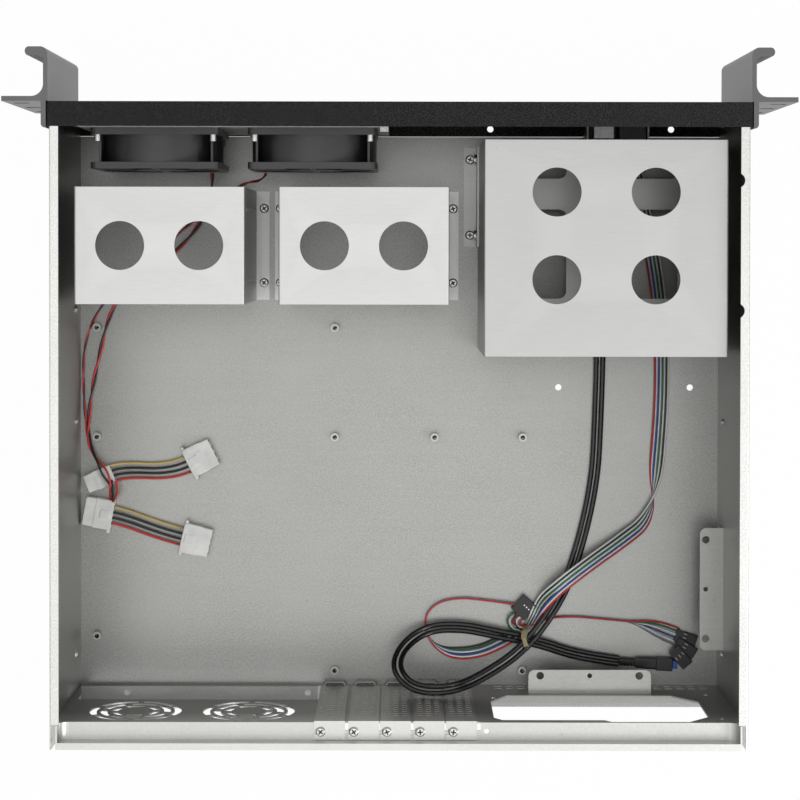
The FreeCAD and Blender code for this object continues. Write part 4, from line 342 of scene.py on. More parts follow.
# Clean sheet: a finer speckle than ZINC, and less painted shade deep down in the case.
ZINC_CLEAN_LESS_SHADED = zinc("zinc_sheet_clean_less_shaded", 0.56, 0.12, 0.36, 1.35)
ZINC_PALE = zinc("zinc_sheet_pale", 0.56, 0.14, 0.4)
SATIN = satin("satin_sheet", 0.45, 0.4)
SATIN_GREY = satin("satin_sheet_grey", 0.38, 0.4)
POWDER = powder("black_powder_paint", 0.004, 0.58)
HANDLE = anodised("dark_anodised", 0.12, 0.42)
BLACK = moulded("black_plastic", (0.03, 0.03, 0.031), 0.34)
BLACK_SOFT = moulded("black_sheath", (0.004, 0.004, 0.0045), 0.24)
BLACK_HOUSING = moulded("black_housing", (0.004, 0.004, 0.004), 0.4)
NYLON = moulded("white_nylon", (0.86, 0.86, 0.84), 0.42, glow=0.25)
BLUE_END = moulded("blue_plastic", (0.02, 0.13, 0.5), 0.4)
TIE = moulded("paper_tie", (0.36, 0.31, 0.19), 0.7)
LAMP = moulded("lamp_lens", (0.55, 0.5, 0.42), 0.25, glow=0.2)
SCREW = plated("plated_steel", 0.66, 0.34)
CONTACT = plated("tinned_contact", 0.8, 0.3)
DULL_CONTACT = plated("dull_contact", 0.25, 0.4)
WIRE = {
    "red": moulded("wire_red", (0.6, 0.035, 0.03), 0.42),
    "black": moulded("wire_black", (0.013, 0.013, 0.013), 0.4),
    "white": moulded("wire_white", (0.95, 0.95, 0.94), 0.42),
    "grey": moulded("wire_grey", (0.25, 0.25, 0.25), 0.42),
    "blue": moulded("wire_blue", (0.03, 0.07, 0.32), 0.42),
    "green": moulded("wire_green", (0.025, 0.17, 0.07), 0.42),
    "yellow": moulded("wire_yellow", (0.66, 0.5, 0.16), 0.42),
}


# ---------------------------------------------------------------- lines and meshes

def metres(route):
    return [tuple(part / 1000 for part in point) for point in route]


def smooth_curve(name, points):
    """One open smooth line over a route's points."""
    data = bpy.data.curves.new(name, "CURVE")
    data.dimensions = "3D"
    spline = data.splines.new("NURBS")
    spline.points.add(len(points) - 1)
    for knot, point in zip(spline.points, points):
        knot.co = (*point, 1)
    spline.order_u = 3
    spline.use_endpoint_u = True
    data.resolution_u = 14
    return data


def line_of(points):
    """The points that the smooth line passes, as rows of an array."""
    holder = bpy.data.objects.new("line_holder", smooth_curve("line", points))
    mesh = bpy.data.meshes.new_from_object(holder)
    line = np.array([vertex.co for vertex in mesh.vertices])
    bpy.data.objects.remove(holder)
    return line


def shares(line):
    """How far along the line each point is, from 0 to 1."""
    steps = np.linalg.norm(np.diff(line, axis=0), axis=1)
    run = np.concatenate([[0], np.cumsum(steps)])
    return run / run[-1]


def frames(line):
    """The level direction to the left of each point of a line, and the one square to it and the line."""
    ahead = np.gradient(line, axis=0)
    ahead /= np.linalg.norm(ahead, axis=1)[:, None]
    left = np.cross((0, 0, 1), ahead)
    left /= np.linalg.norm(left, axis=1)[:, None]
    return left, np.cross(ahead, left)


def offset(line, aside, lift, low=None):
    """A strand that runs beside a line, kept above the floor."""
    left, up = frames(line)
    moved = line + left * np.asarray(aside).reshape(-1, 1) + up * np.asarray(lift).reshape(-1, 1)
    if low is not None:
        moved[:, 2] = np.maximum(moved[:, 2], low)
    return moved


def add_tube(bm, line, radius, material=0, sides=10):
    """A capped round tube along a line."""
    left, up = frames(line)
    rings = []
    for at, one, two in zip(line, left, up):
        ring = []
        for step in range(sides):
            turn = 2 * math.pi * step / sides
            ring.append(bm.verts.new(at + (one * math.cos(turn) + two * math.sin(turn)) * radius))
        rings.append(ring)
    for first, second in zip(rings, rings[1:]):
        for step in range(sides):
            follow = (step + 1) % sides
            face = bm.faces.new((first[step], first[follow], second[follow], second[step]))
            face.material_index = material
            face.smooth = True
    for ring, order in ((rings[0], -1), (rings[-1], 1)):
        bm.faces.new(ring[::order]).material_index = material


def finish_mesh(name, bm, materials, replaced=()):
    """Turns a bmesh into a piece that rides on the case."""
    bmesh.ops.recalc_face_normals(bm, faces=bm.faces)
    mesh = bpy.data.meshes.new(name)
    bm.to_mesh(mesh)
    bm.free()
    for material in materials:
        mesh.materials.append(material)
    piece = bpy.data.objects.new(name, mesh)
    collection.objects.link(piece)
    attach(piece, "chassis")
    if replaced:
        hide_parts(*replaced)
    return piece


def add_block(bm, centre, size, turn=None, edge=0.0003, material=0):
    """A block with rounded edges. turn is a matrix about the block's own centre."""
    place = Matrix.Translation(centre) @ (turn or Matrix.Identity(4))
    made = bmesh.ops.create_cube(bm, size=1)
    verts = made["verts"]
    bmesh.ops.scale(bm, vec=size, verts=verts)
    edges = {e for v in verts for e in v.link_edges}
    faces = {f for v in verts for f in v.link_faces}
    if edge:
        result = bmesh.ops.bevel(
            bm, geom=list(edges), offset=edge, segments=2, affect="EDGES", profile=0.5
        )
        verts = {v for f in result["faces"] for v in f.verts} | {v for v in verts if v.is_valid}
        faces = {f for v in verts for f in v.link_faces}
    verts = list({v for f in faces for v in f.verts})
    bmesh.ops.transform(bm, matrix=place, verts=verts)
    for face in faces:
        face.material_index = material


def add_disc(bm, centre, radius, depth, axis, material=0, sides=16):
    """A short round bar along an axis."""
    way = Vector(axis).normalized().to_track_quat("Z", "Y").to_matrix().to_4x4()
    place = Matrix.Translation(centre) @ way
    made = bmesh.ops.create_cone(
        bm, cap_ends=True, segments=sides, radius1=radius, radius2=radius, depth=depth, matrix=place
    )
    for face in {f for v in made["verts"] for f in v.link_faces}:
        face.material_index = material
        face.smooth = len(face.verts) == 4


def loft(bm, sections, material=0, square=0.32, sides=28):
    """A closed form through upright sections: x, width, height, and the middle's y and z if not 0."""
    rings = []
    for section in sections:
        x, wide, tall = section[:3]
        y, z = section[3:] if len(section) > 3 else (0, 0)
        ring = []
        for index in range(sides):
            turn = 2 * math.pi * (index + 0.5) / sides
            across, up = math.cos(turn), math.sin(turn)
            ring.append(bm.verts.new((
                x,
                y + wide / 2 * math.copysign(abs(across) ** square, across),
                z + tall / 2 * math.copysign(abs(up) ** square, up),
            )))
        rings.append(ring)
    for first, second in zip(rings, rings[1:]):
        for index in range(sides):
            follow = (index + 1) % sides
            face = bm.faces.new((first[index], first[follow], second[follow], second[index]))
            face.material_index = material
    for ring in (rings[0][::-1], rings[-1]):
        bm.faces.new(ring).material_index = material


def carve(bm, cutters):
    """Takes blocks and bars out of a bmesh. Each cutter is a bmesh of its own."""
    bmesh.ops.recalc_face_normals(bm, faces=bm.faces)
    body = bpy.data.meshes.new("carved")
    bm.to_mesh(body)
    bm.free()
    holder = bpy.data.objects.new("carved", body)
    collection.objects.link(holder)
    used = [holder]
    for number, cutter in enumerate(cutters):
        tool_mesh = bpy.data.meshes.new(f"cutter_{number}")
        cutter.to_mesh(tool_mesh)
        cutter.free()
        tool = bpy.data.objects.new(f"cutter_{number}", tool_mesh)
        collection.objects.link(tool)
        used.append(tool)
        modifier = holder.modifiers.new(f"cut_{number}", "BOOLEAN")
        modifier.operation = "DIFFERENCE"
        modifier.solver = "EXACT"
        modifier.object = tool
    bpy.context.view_layer.update()
    result = bpy.data.meshes.new_from_object(
        holder.evaluated_get(bpy.context.evaluated_depsgraph_get())
    )
    for item in used:
        bpy.data.objects.remove(item)
    made = bmesh.new()
    made.from_mesh(result)
    return made


# ---------------------------------------------------------------- routes and places, in millimetres
# The routes are those of the solids, but for the last four points of FAN_ROUTE_2

USB_ROUTE = [
    (-133.6, -163.9, 11), (-133.2, -130, 10), (-131.8, -82, 3.9), (-133.2, -30, 3.5), (-131.8, 20, 3.5),
    (-129.6, 66, 3.5), (-116, 121, 3.6), (-101.5, 149, 9.2), (-80.5, 173.5, 18.2), (-50.7, 188.9, 37),
    (-30.2, 193, 52.6), (-8.6, 192.6, 46.6), (2.7, 181.7, 36), (-2, 169.8, 21.7), (-18.6, 159.8, 8.7),
    (-41.7, 158.8, 8.6), (-63.6, 163.3, 9), (-93, 169.4, 7.2), (-118.5, 178.8, 4), (-146, 182.3, 4.6),
]
USB_STEP = 2.15  # of each lead of the pair from the middle of both
USB_PLUG_ANGLE = 176.8
PANEL_ROUTE = [
    (-152, -163.1, 14), (-156, -134, 13), (-167, -92, 5), (-173.6, -46, 3.6), (-174.2, 4, 3.4),
    (-171.5, 46, 3.4), (-167.2, 87.2, 3.6), (-146.1, 102.5, 9), (-125.2, 116.3, 14.5), (-102.8, 133.6, 14.5),
    (-92.2, 146, 12.4), (-87, 158.6, 3.6),
]
LOOP_ROUTE = [
    (-77.4, 144.6, 4.2), (-58.5, 142.1, 2.6), (-39.2, 140.2, 2.4), (-23.2, 144.2, 2.4), (-16, 155.5, 2.4),
    (-20.6, 170.9, 2.4), (-35.3, 178.2, 2.4), (-53.9, 176.8, 2.4), (-70.5, 168.8, 2.5), (-86, 160.4, 2.8),
]
BRANCH_ROUTE = [
    (-87.2, 158.6, 2.9), (-97.1, 154.1, 2.4), (-114.4, 152.6, 2.4), (-133.7, 154.2, 2.4), (-152.9, 156, 2.4),
    (-169.6, 159.9, 2.6), (-184.4, 166.2, 3.2),
]
FAN_ROUTE_1 = [
    (122, -139.9, 29.5), (122.6, -131.5, 21), (127, -117, 7), (139, -98, 2.6), (158, -81, 2.6),
    (180.5, -68, 2.6), (192.6, -47, 2.6), (197.9, -26, 2.6), (203.6, 0, 2.6), (206.6, 22, 2.6),
    (206.2, 40, 3.4), (195.5, 54.6, 12.4), (189.6, 66, 13), (190.6, 75.6, 7.4),
]
FAN_ROUTE_2 = [
    (86.5, -139.9, 38), (89.5, -135.2, 30), (101, -134.8, 18), (114, -127, 7), (131, -114.5, 2.4),
    (155, -94, 2.4), (182.5, -72.5, 2.4), (199.6, -51, 2.4), (209, -30, 2.4), (210, -6, 2.4),
    (209, 16, 2.4), (206.6, 38, 2.6), (199.6, 51, 6.2), (196.6, 58.6, 7),
]
# Short wires that curl out of the header plug and into the tie
CURLS = (
    ("green", [
        (-79.5, 148.6, 4.6), (-76.5, 150.2, 5), (-72.7, 152.3, 5.4), (-71.5, 156.3, 5),
        (-73.8, 160.7, 4), (-77.4, 163.3, 3.4), (-83.4, 163.6, 3.4),
    ]),
    ("white", [
        (-79.8, 149.4, 4.2), (-77, 151.2, 4.4), (-74, 153.5, 4.6), (-73.2, 156.8, 4.4),
        (-75.1, 160.3, 3.6), (-78.5, 162.2, 3), (-84, 162.4, 3),
    ]),
    ("black", [
        (-78.6, 149.4, 5.4), (-76.6, 151.4, 6.4), (-76.2, 154.2, 7), (-77.4, 157.9, 6.6),
        (-79.6, 161.1, 5.4), (-84, 162, 4.4),
    ]),
    ("white", [
        (-82.4, 151.6, 5), (-80, 153.3, 6), (-77.8, 155, 6.4), (-78, 158, 6), (-80.3, 160, 5),
        (-84.4, 160.3, 4.6),
    ]),
    ("red", [
        (-83.4, 153, 4.6), (-81.6, 154.8, 5), (-79.8, 156.4, 5.4), (-81, 158.9, 5),
        (-84.4, 158.8, 4.6),
    ]),
    ("red", [
        (-79.8, 152, 2.4), (-77.6, 153.9, 2.6), (-74.6, 156, 2.8), (-76.5, 158.8, 2.6),
        (-80.4, 159.4, 2.6),
    ]),
)
# Short wires that bow out beside the third power plug
LOOPS = (
    ("red", [
        (187.9, 62.3, 12), (185.9, 65.6, 12.4), (185.6, 68.9, 12), (187.1, 73, 11), (189, 76.2, 9),
    ]),
    ("black", [
        (189.9, 61.6, 12), (188.8, 65.5, 13), (188.8, 69.5, 13), (189.1, 73.7, 11),
        (189.4, 77.3, 8),
    ]),
)
TIE_LINE = ((-84.1, 158.9, 14.6), (-81.7, 162.8, 18.2), (-82.8, 167, 20), (-85.1, 174.1, 17.4))
# Middle, the way its wires leave in degrees, and whether it is of the narrow kind
POWER_PLUGS = (
    (198.5, 61.5, 202.3, True), (131.5, 47.2, 26.6, False),
    (199.2, 84, 169.6, False), (134.7, 102, -13.1, False),
)
POWER_PLUG_LONG = 19
POWER_PLUG_WIDE = 20
POWER_PLUG_NARROW = 13
POWER_PLUG_TALL = 8
PLUG_LOW = 1.3  # underside of the plugs that lie on the floor
POWER_PITCH = 3.6
POWER_BENDS = (6.5, 12.5)  # how far from the near and the far plug each power wire bends
HEADER_PLUG = (-82.9, 146.4, 47)  # its middle, and the way it faces in degrees
CLUSTER_PLUGS = ((-190.6, 167.4, 162), (-190.2, 173.6, 148), (-186.6, 179, 131))

# Radii of insulated wires, in metres
FLAT_WIRE = 0.00062
PANEL_WIRE = 0.00058
FAN_WIRE = 0.0007
THIN_FAN_WIRE = 0.0005
POWER_WIRE = 0.00082
USB_SHEATH = 0.0017


def beside(route, step):
    """A route that runs at one side of another, level with it."""
    flat = [Vector((x, y)) for x, y, z in route]
    ways = [(after - before).normalized() for before, after in zip(flat, flat[1:])]
    shifted = []
    for index, (x, y, z) in enumerate(route):
        arriving = ways[max(index - 1, 0)]
        leaving = ways[min(index, len(ways) - 1)]
        across = (arriving + leaving).normalized()
        reach = step / math.cos(arriving.angle(leaving) / 2)
        shifted.append((x - across.y * reach, y + across.x * reach, z))
    return shifted


def plug_mouth(plug, step):
    """Where one wire leaves a power plug and which way, a step to the left of the plug's middle."""
    x, y, angle = plug[:3]
    ahead = math.cos(math.radians(angle))
    aside = math.sin(math.radians(angle))
    reach = POWER_PLUG_LONG / 2
    height = PLUG_LOW + POWER_PLUG_TALL / 2
    return (x + reach * ahead - step * aside, y + reach * aside + step * ahead, height), (ahead, aside)


# ---------------------------------------------------------------- leads

def place_on(x, y, z, angle):
    """The matrix of a plug whose wires leave along its own +X."""
    return Matrix.Translation((x / 1000, y / 1000, z / 1000)) @ Matrix.Rotation(math.radians(angle), 4, "Z")


def make_usb_leads():
    """The two black leads of the front ports."""
    for number, side in enumerate((-1, 1)):
        points = metres(beside(USB_ROUTE, side * USB_STEP))
        name = f"usb_lead_{number + 1}"
        data = smooth_curve(name + "_sheath", points)
        data.bevel_depth = USB_SHEATH
        data.bevel_resolution = 4
        data.use_fill_caps = True
        data.materials.append(BLACK_SOFT)
        lead = bpy.data.objects.new(name + "_sheath", data)
        collection.objects.link(lead)
        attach(lead, "chassis")
        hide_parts(name)
        line = line_of(points)


def strands(name, line, colours, aside, lift, radius, replaced):
    """A bundle of insulated wires. aside and lift give each wire's offsets along the line."""
    bm = bmesh.new()
    names = list(dict.fromkeys(colours))
    for index, colour in enumerate(colours):
        strand = offset(line, aside(index), lift(index), FLOOR + radius)
        add_tube(bm, strand, radius, names.index(colour), 8)
    piece = finish_mesh(name, bm, [WIRE[colour] for colour in names], replaced=replaced)
    return piece


def smooth_step(value, start, end):
    share = np.clip((value - start) / (end - start), 0, 1)
    return share * share * (3 - 2 * share)


def make_panel_leads():
    """Eight wires side by side. They turn over once, and five of them dip under the header plug."""
    line = line_of(metres(PANEL_ROUTE))
    along = shares(line)
    order = ("red", "white", "blue", "white", "green", "white", "black", "white")
    pitch = 0.00125 - 0.00045 * smooth_step(along, 0.92, 1)
    turn = math.pi * smooth_step(along, 0.56, 0.75)
    dip = 0.0052 * smooth_step(along, 0.9, 0.945) * (1 - smooth_step(along, 0.955, 0.98))

    def step(index):
        return (index - 3.5) * pitch

    def lift(index):
        return step(index) * np.sin(turn) * 0.8 + 0.0002 * math.sin(5 * index) - (dip if index > 2 else 0)

    strands(
        "panel_wires", line, order, lambda index: step(index) * np.cos(turn), lift,
        FLAT_WIRE, ["panel_leads"],
    )


def make_panel_loop():
    """The loop of the header plug: edge on at first, then spread flat."""
    line = line_of(metres(LOOP_ROUTE))
    along = shares(line)
    order = ("red", "white", "blue", "white", "green", "black")
    flat = smooth_step(along, 0.5, 0.72)
    turn = math.pi / 2 * (1 - flat)
    pitch = 0.00085 + 0.0007 * flat * (1 - 0.55 * smooth_step(along, 0.86, 1))

    def step(index):
        return (index - 2.5) * pitch

    strands(
        "panel_loop_wires", line, order,
        lambda index: step(index) * np.cos(turn),
        lambda index: -step(index) * np.sin(turn),
        PANEL_WIRE, ["panel_loop"],
    )


def make_panel_branch():
    """The wires of the small plugs: edge on, then fanned out into them."""
    line = line_of(metres(BRANCH_ROUTE))
    along = shares(line)
    order = ("red", "green", "white", "blue", "white", "grey")
    turn = math.pi / 2 * (1 - smooth_step(along, 0.6, 0.9))
    pitch = 0.0008 + 0.0014 * smooth_step(along, 0.64, 0.96)

    def step(index):
        return (index - 2.5) * pitch

    strands(
        "panel_branch_wires", line, order,
        lambda index: -step(index) * np.cos(turn),
        lambda index: -step(index) * np.sin(turn),
        PANEL_WIRE, ["panel_branch"],
    )


def make_fan_leads():
    """The fans' twisted pairs. The first opens a little before its plug."""
    line = line_of(metres(FAN_ROUTE_1))
    along = shares(line)
    twist = 2 * math.pi * 6 * along
    spread = 1 + 1.6 * smooth_step(along, 0.86, 0.93) * (1 - smooth_step(along, 0.95, 1))

    def part(index):
        return FAN_WIRE * (1 if index else -1)

    strands(
        "fan_wires_1", line, ("red", "black"),
        lambda index: part(index) * np.cos(twist) * spread,
        lambda index: part(index) * np.sin(twist),
        FAN_WIRE, ["fan_lead_1"],
    )
    line = line_of(metres(FAN_ROUTE_2))
    winding = 2 * math.pi * 9 * shares(line)
    strands(
        "fan_wires_2", line, ("red", "black"),
        lambda index: part(index) * 0.65 * np.cos(winding),
        lambda index: part(index) * 0.65 * np.sin(winding),
        THIN_FAN_WIRE, ["fan_lead_2"],
    )


def make_power_wires():
    """Four short wires between each pair of white plugs."""
    order = ("red", "black", "black", "yellow")
    near_bend, far_bend = POWER_BENDS
    for pair in range(2):
        near = POWER_PLUGS[2 * pair]
        far = POWER_PLUGS[2 * pair + 1]
        for index, colour in enumerate(order):
            step = (index - 1.5) * POWER_PITCH
            start, leaving = plug_mouth(near, step)
            end, arriving = plug_mouth(far, -step)
            points = metres([
                start,
                (start[0] + leaving[0] * near_bend, start[1] + leaving[1] * near_bend, start[2] - 1),
                (end[0] + arriving[0] * far_bend, end[1] + arriving[1] * far_bend, end[2] - 1),
                end,
            ])
            line = line_of(points)
            bm = bmesh.new()
            add_tube(bm, line, POWER_WIRE, 0, 10)
            name = f"power_wire_{pair + 1}_{index + 1}"
            piece = finish_mesh(name, bm, [WIRE[colour]], replaced=[f"power_wires_{pair + 1}"])


# ---------------------------------------------------------------- plugs

def make_power_plug(number):
    """A nylon housing for four contacts: body with a rim at the wires, ribs on top, and open sockets whose
    walls are black as painted shade.
    """
    x, y, angle, narrow = POWER_PLUGS[number]
    wide = (POWER_PLUG_NARROW if narrow else POWER_PLUG_WIDE) / 1000
    tall = POWER_PLUG_TALL / 1000
    pitch = (wide - 0.0048) / 3
    bm = bmesh.new()
    loft(bm, [
        (-0.0095, wide - 0.0018, tall - 0.0018), (-0.0091, wide - 0.0012, tall - 0.0012),
        (-0.0027, wide - 0.0008, tall - 0.0008), (-0.0024, wide, tall), (0.0068, wide, tall),
        (0.0091, wide - 0.0004, tall), (0.0095, wide - 0.0012, tall - 0.0008),
    ], square=0.16, sides=40)
    sockets = bmesh.new()
    entries = bmesh.new()
    # Painted shade: the socket and wire-entry cutters carry the black material, so the walls of these holes
    # in the white nylon are black.
    for index in range(4):
        across = (index - 1.5) * pitch
        add_disc(sockets, (-0.0075, across, 0), min(0.0017, pitch * 0.4), 0.009, (1, 0, 0), 1, 16)
        entry = (index - 1.5) * POWER_PITCH / 1000 * min(1, wide / 0.017)
        add_disc(entries, (0.0085, entry, 0), 0.00125, 0.006, (1, 0, 0), 1, 12)
    grooves = bmesh.new()
    for side in (-1, 1):
        add_block(grooves, (0.0021, side * wide * 0.24, tall / 2), (0.0078, 0.0007, 0.0008), edge=0)
    add_block(grooves, (-0.0025, 0, tall / 2), (0.0007, wide * 0.94, 0.0008), edge=0)
    bm = carve(bm, [sockets, entries, grooves])
    if not narrow:
        for side in (-1, 1):
            loft(bm, [
                (0.0071, 0.0003, tall * 0.6, side * (wide / 2 + 0.0003), 0),
                (0.0076, 0.0032, tall * 0.86, side * (wide / 2 + 0.0004), 0),
                (0.0089, 0.0034, tall * 0.86, side * (wide / 2 + 0.0005), 0),
                (0.0094, 0.0024, tall * 0.7, side * (wide / 2 + 0.0002), 0),
            ], square=0.5, sides=16)
    add_block(bm, (0.0045, 0, tall / 2), (0.0062, wide * 0.3, 0.0009), edge=0.0003)
    place = place_on(x, y, PLUG_LOW + POWER_PLUG_TALL / 2, angle)
    bmesh.ops.transform(bm, matrix=place, verts=bm.verts)
    return finish_mesh(
        f"power_housing_{number + 1}", bm, [NYLON, BLACK_HOUSING], replaced=[f"power_plug_{number + 1}"]
    )


def make_usb_plug():
    """The header plug of the front ports: ribbed relief, widening grip, square block and blue mouth."""
    bm = bmesh.new()
    loft(bm, [
        (0, 0.0046, 0.0042), (0.0004, 0.005, 0.0046), (0.0096, 0.005, 0.0045), (0.0104, 0.0056, 0.005),
    ], square=0.6)
    for index in range(4):
        middle = 0.0014 + index * 0.0024
        loft(bm, [
            (middle - 0.0007, 0.0049, 0.0045), (middle - 0.0004, 0.0057, 0.0053),
            (middle + 0.0004, 0.0057, 0.0053), (middle + 0.0007, 0.0049, 0.0045),
        ], square=0.55)
    loft(bm, [
        (0.0099, 0.0052, 0.0046), (0.0104, 0.0062, 0.0054), (0.0128, 0.0074, 0.006), (0.0165, 0.0078, 0.0063),
        (0.0228, 0.008, 0.0063), (0.0244, 0.008, 0.0062), (0.0247, 0.0076, 0.0058),
    ], square=0.4)
    loft(bm, [
        (0.0245, 0.008, 0.006), (0.0249, 0.0088, 0.0066), (0.0351, 0.0088, 0.0066), (0.0355, 0.0082, 0.006),
    ], square=0.14, sides=40)
    loft(bm, [
        (0.0345, 0.0055, 0.0047), (0.0384, 0.0055, 0.0047), (0.0387, 0.0051, 0.0043),
    ], 1, square=0.14, sides=40)
    mouth = bmesh.new()
    add_block(mouth, (0.0378, 0, 0), (0.0034, 0.0043, 0.0033), edge=0)
    ribs = bmesh.new()
    for index in range(4):
        add_block(ribs, (0.0142 + index * 0.0024, 0, 0.0033), (0.0007, 0.0052, 0.0009), edge=0)
    bm = carve(bm, [mouth, ribs])
    for row in (-1, 1):
        for index in range(4):
            spot = (0.0373, (index - 1.5) * 0.001, row * 0.0008)
            add_block(bm, spot, (0.0024, 0.0004, 0.0004), edge=0, material=2)
    end = USB_ROUTE[-1]
    bmesh.ops.transform(bm, matrix=place_on(end[0], end[1], end[2], USB_PLUG_ANGLE), verts=bm.verts)
    return finish_mesh("usb_header_plug", bm, [BLACK_HOUSING, BLUE_END, CONTACT], replaced=["usb_plug"])


def housing(bm, place, size, ways):
    """A small black crimp housing with its latch windows."""
    long, wide, tall = size
    part = bmesh.new()
    add_block(part, (0, 0, 0), (long, wide, tall), edge=0.0003)
    pitch = wide / ways
    slots = bmesh.new()
    for index in range(ways):
        across = (index - (ways - 1) / 2) * pitch
        add_block(slots, (-long * 0.08, across, tall / 2), (long * 0.22, pitch * 0.5, tall * 0.3), edge=0)
        add_block(slots, (long / 2, across, 0), (0.0016, pitch * 0.66, tall * 0.6), edge=0)
    part = carve(part, [slots])
    for index in range(ways):
        across = (index - (ways - 1) / 2) * pitch
        spot = (-long * 0.08, across, tall / 2 - tall * 0.13)
        add_block(part, spot, (long * 0.16, pitch * 0.26, 0.0002), edge=0, material=1)
    bmesh.ops.transform(part, matrix=place, verts=part.verts)
    mesh = bpy.data.meshes.new("housing_part")
    part.to_mesh(mesh)
    part.free()
    bm.from_mesh(mesh)


def make_header_plug():
    """A block of crimp housings, with the contacts' latches in a row of small windows."""
    long, wide, tall = 0.0125, 0.012, 0.006
    bm = bmesh.new()
    add_block(bm, (0, 0, 0), (long, wide, tall), edge=0.0003)
    windows = bmesh.new()
    seams = bmesh.new()
    for index in range(4):
        across = -0.0009 + index * 0.002
        add_block(windows, (-0.0014, across, tall / 2), (0.0013, 0.0012, 0.0016), edge=0)
        add_block(windows, (long / 2, across - 0.002, 0.0008), (0.0016, 0.0013, 0.0018), edge=0)
    for index in range(1, 5):
        add_block(seams, (0, wide * (index / 5 - 0.5), tall / 2), (long * 0.96, 0.00014, 0.0003), edge=0)
    bm = carve(bm, [windows, seams])
    for index in range(4):
        spot = (-0.0012, -0.0009 + index * 0.002, tall / 2 - 0.0004)
        add_block(bm, spot, (0.0009, 0.0008, 0.0005), edge=0.0001, material=1)
    x, y, angle = HEADER_PLUG
    bmesh.ops.transform(bm, matrix=place_on(x, y, PLUG_LOW + 3, angle), verts=bm.verts)
    return finish_mesh("header_housing", bm, [BLACK_HOUSING, CONTACT], replaced=["header_plug"])


def make_curls(name, wires, radius):
    """Short wires that are no cords: each rides on the case."""
    for number, (colour, points) in enumerate(wires):
        bm = bmesh.new()
        add_tube(bm, line_of(metres(points)), radius, 0, 8)
        finish_mesh(f"{name}_{number + 1}", bm, [WIRE[colour]])


def make_cluster():
    """Three small crimp housings, one over the edge of the next."""
    bm = bmesh.new()
    for index, (x, y, angle) in enumerate(CLUSTER_PLUGS):
        low = PLUG_LOW + index * 2.6
        housing(bm, place_on(x, y, low + 1.5, angle), (0.0145, 0.0082, 0.0032), 3)
    return finish_mesh("cluster_housings", bm, [BLACK_HOUSING, DULL_CONTACT], replaced=["plug_cluster"])


def make_tie():
    """A paper-covered tie wound upright round both pairs where they cross, and twisted at its foot."""
    top = line_of(metres(TIE_LINE))
    low = top[::-1].copy()
    foot = 0.0042 + 0.0007
    low[:, 2] = foot
    low[:, 0] += 0.0006
    loop = np.concatenate([top, low])
    for _ in range(6):
        loop = (np.roll(loop, 1, axis=0) + 2 * loop + np.roll(loop, -1, axis=0)) / 4
    count = len(loop)
    ahead = np.roll(loop, -1, axis=0) - np.roll(loop, 1, axis=0)
    ahead /= np.linalg.norm(ahead, axis=1)[:, None]
    flat = np.array((0.95, 0.3, 0))
    across = flat - ahead * (ahead @ flat)[:, None]
    across /= np.linalg.norm(across, axis=1)[:, None]
    out = np.cross(ahead, across)
    thin = 0.00022
    bm = bmesh.new()
    rings = []
    for index in range(count):
        share = index / count
        half = 0.0017 + 0.00035 * math.sin(13 * share + 0.6)
        at = Vector(loop[index])
        one, two = Vector(across[index]), Vector(out[index])
        crease = 0.00012 * math.sin(61 * share)
        rings.append([
            bm.verts.new(at + one * half + two * thin),
            bm.verts.new(at + one * half * 0.3 + two * (thin + 0.0002 + crease)),
            bm.verts.new(at - one * half * 0.3 + two * (thin + crease)),
            bm.verts.new(at - one * half + two * thin),
            bm.verts.new(at - one * half - two * thin),
            bm.verts.new(at + one * half - two * thin),
        ])
    for index in range(count):
        first, second = rings[index], rings[(index + 1) % count]
        for step in range(6):
            follow = (step + 1) % 6
            bm.faces.new((first[step], first[follow], second[follow], second[step]))
    return finish_mesh("paper_tie", bm, [TIE], replaced=["cable_tie"])


# ---------------------------------------------------------------- the pieces that stay as they are

def dress(names, material):
    """Gives carried-over nodes their material."""
    for name in names:
        for slot in nodes[name].material_slots:
            slot.material = material
        if not nodes[name].material_slots:
            nodes[name].data.materials.append(material)


def islands(bm):
    """The groups of joined vertices of a mesh."""
    left = set(bm.verts)
    groups = []
    while left:
        group = {left.pop()}
        rim = set(group)
        while rim:
            rim = {edge.other_vert(vert) for vert in rim for edge in vert.link_edges} - group
            group |= rim
        left -= group
        groups.append(group)
    return groups


def box_of(verts):
    """The lowest and the highest corner round some vertices."""
    low = Vector([min(vert.co[axis] for vert in verts) for axis in range(3)])
    high = Vector([max(vert.co[axis] for vert in verts) for axis in range(3)])
    return low, high


def paint_bore_shade(name, material):
    """Gives the faces inside a node's upright round posts a dark material, as painted shade in the bores."""
    mesh = nodes[name].data
    mesh.materials.append(material)
    dark = len(mesh.materials) - 1
    near_axis = 0.0008
    bm = bmesh.new()
    bm.from_mesh(mesh)
    for post in islands(bm):
        low, high = box_of(post)
        for face in {face for vert in post for face in vert.link_faces}:
            inward = (low + high) / 2 - face.calc_center_median()
            inward.z = 0
            wall = abs(face.normal.z) < 0.3 and face.normal.dot(inward) > 0
            bottom = face.normal.z > 0.5 and inward.length < near_axis
            if wall or bottom:
                face.material_index = dark
    bm.to_mesh(mesh)
    bm.free()


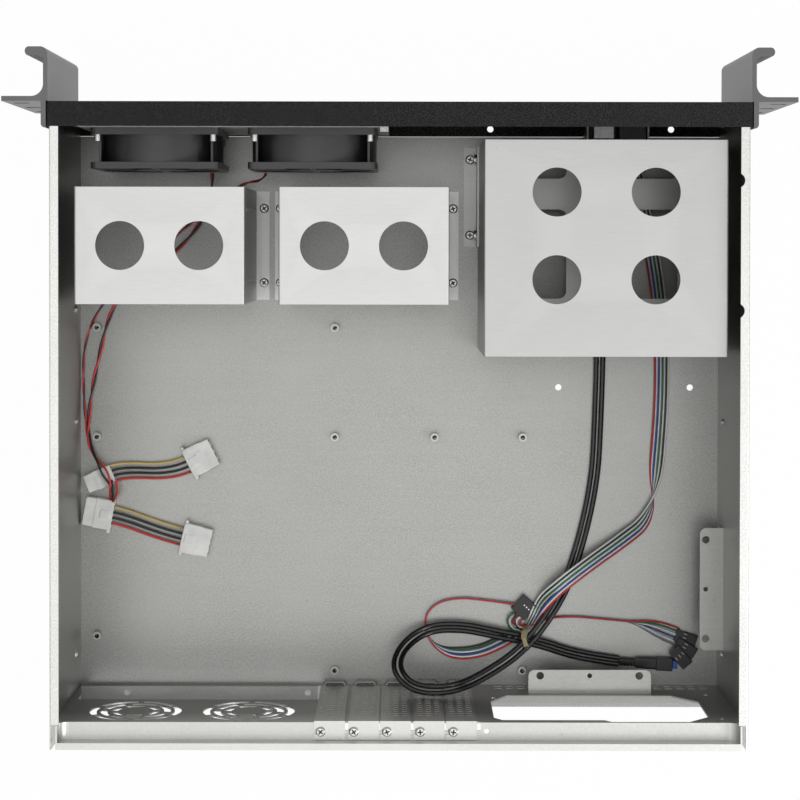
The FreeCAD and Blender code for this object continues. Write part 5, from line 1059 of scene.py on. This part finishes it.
def paint_recess_shade(name):
    """Painted shade for the crossed recess of each of a node's upright screws: a thin dark cross on its head.
    """
    bm = bmesh.new()
    bm.from_mesh(nodes[name].data)
    bmesh.ops.remove_doubles(bm, verts=bm.verts, dist=1e-6)
    heads = []
    for screw in islands(bm):
        low, high = box_of(screw)
        heads.append(((low.x + high.x) / 2, (low.y + high.y) / 2, high.z, high.x - low.x))
    bm.free()
    # Each cross is a thin black sheet laid on the head in place of a real recess: painted shade.
    crosses = bmesh.new()
    for x, y, top, wide in sorted(heads):
        turn = Matrix.Rotation(x * 90 + y * 37, 4, "Z")
        for size in ((wide * 0.56, wide * 0.14, 0.0001), (wide * 0.14, wide * 0.56, 0.00012)):
            add_block(crosses, (x, y, top), size, turn, edge=0)
        add_disc(crosses, (x, y, top), wide * 0.13, 0.00014, (0, 0, 1), sides=12)
    finish_mesh(f"{name}_recess_shade", crosses, [BLACK_HOUSING])


# ---------------------------------------------------------------- the scene

bpy.context.scene.view_settings.view_transform = "Standard"
make_camera()
make_world()
make_stage()
make_lamp("key_right", (-1.0, 0.5, 1.0), (0.0, 0.0, 0.0), (0.5, 0.5), 9)
make_lamp("overhead", (0.12, 0.1, 1.75), (0.0, 0.0, 0.0), (1.6, 1.4), 5)

usb_plug = make_usb_plug()
header = make_header_plug()
cluster = make_cluster()
tie = make_tie()
power_plugs = [make_power_plug(number) for number in range(4)]
make_usb_leads()
make_panel_leads()
make_panel_loop()
make_panel_branch()
make_fan_leads()
make_curls("header_curl", CURLS, PANEL_WIRE)
make_curls("fan_wire_loop", LOOPS, FAN_WIRE)
make_power_wires()

dress(["chassis_tray", "fan_plate", "control_bracket"], ZINC)
dress(["cage_angle_inner", "cage_angle_outer", "board_standoffs"], ZINC_CLEAN_LESS_SHADED)
dress(["psu_bracket_rear", "psu_bracket_side"], ZINC_CLEAN_LESS_SHADED)
dress([f"slot_cover_{number}" for number in range(1, 6)], ZINC_CLEAN_LESS_SHADED)
dress(["rear_panel"], ZINC_PALE)
dress(["disk_bracket_inner", "disk_bracket_outer"], SATIN)
dress(["drive_cage", "drive_cage_shelf"], SATIN_GREY)
dress(["front_bezel", "bay_cover_1", "bay_cover_2"], POWDER)
dress(["handle_left", "handle_right"], HANDLE)
dress(["fan_frame_1", "fan_frame_2", "fan_rotor_1", "fan_rotor_2"], BLACK)
dress(["switch_block", "power_button", "reset_button"], BLACK)
dress(["cage_screws", "disk_bracket_screws", "fan_screws", "handle_screws", "slot_cover_screws"], SCREW)
dress(["side_rivets", "usb_ports"], SCREW)
dress(["status_lamps"], LAMP)
dress(["control_board"], moulded("circuit_board", (0.02, 0.12, 0.05), 0.4))

# Painted shade: the standoffs' bores are made black.
paint_bore_shade("board_standoffs", BLACK_HOUSING)
for name in ("cage_screws", "disk_bracket_screws", "slot_cover_screws"):
    paint_recess_shade(name)
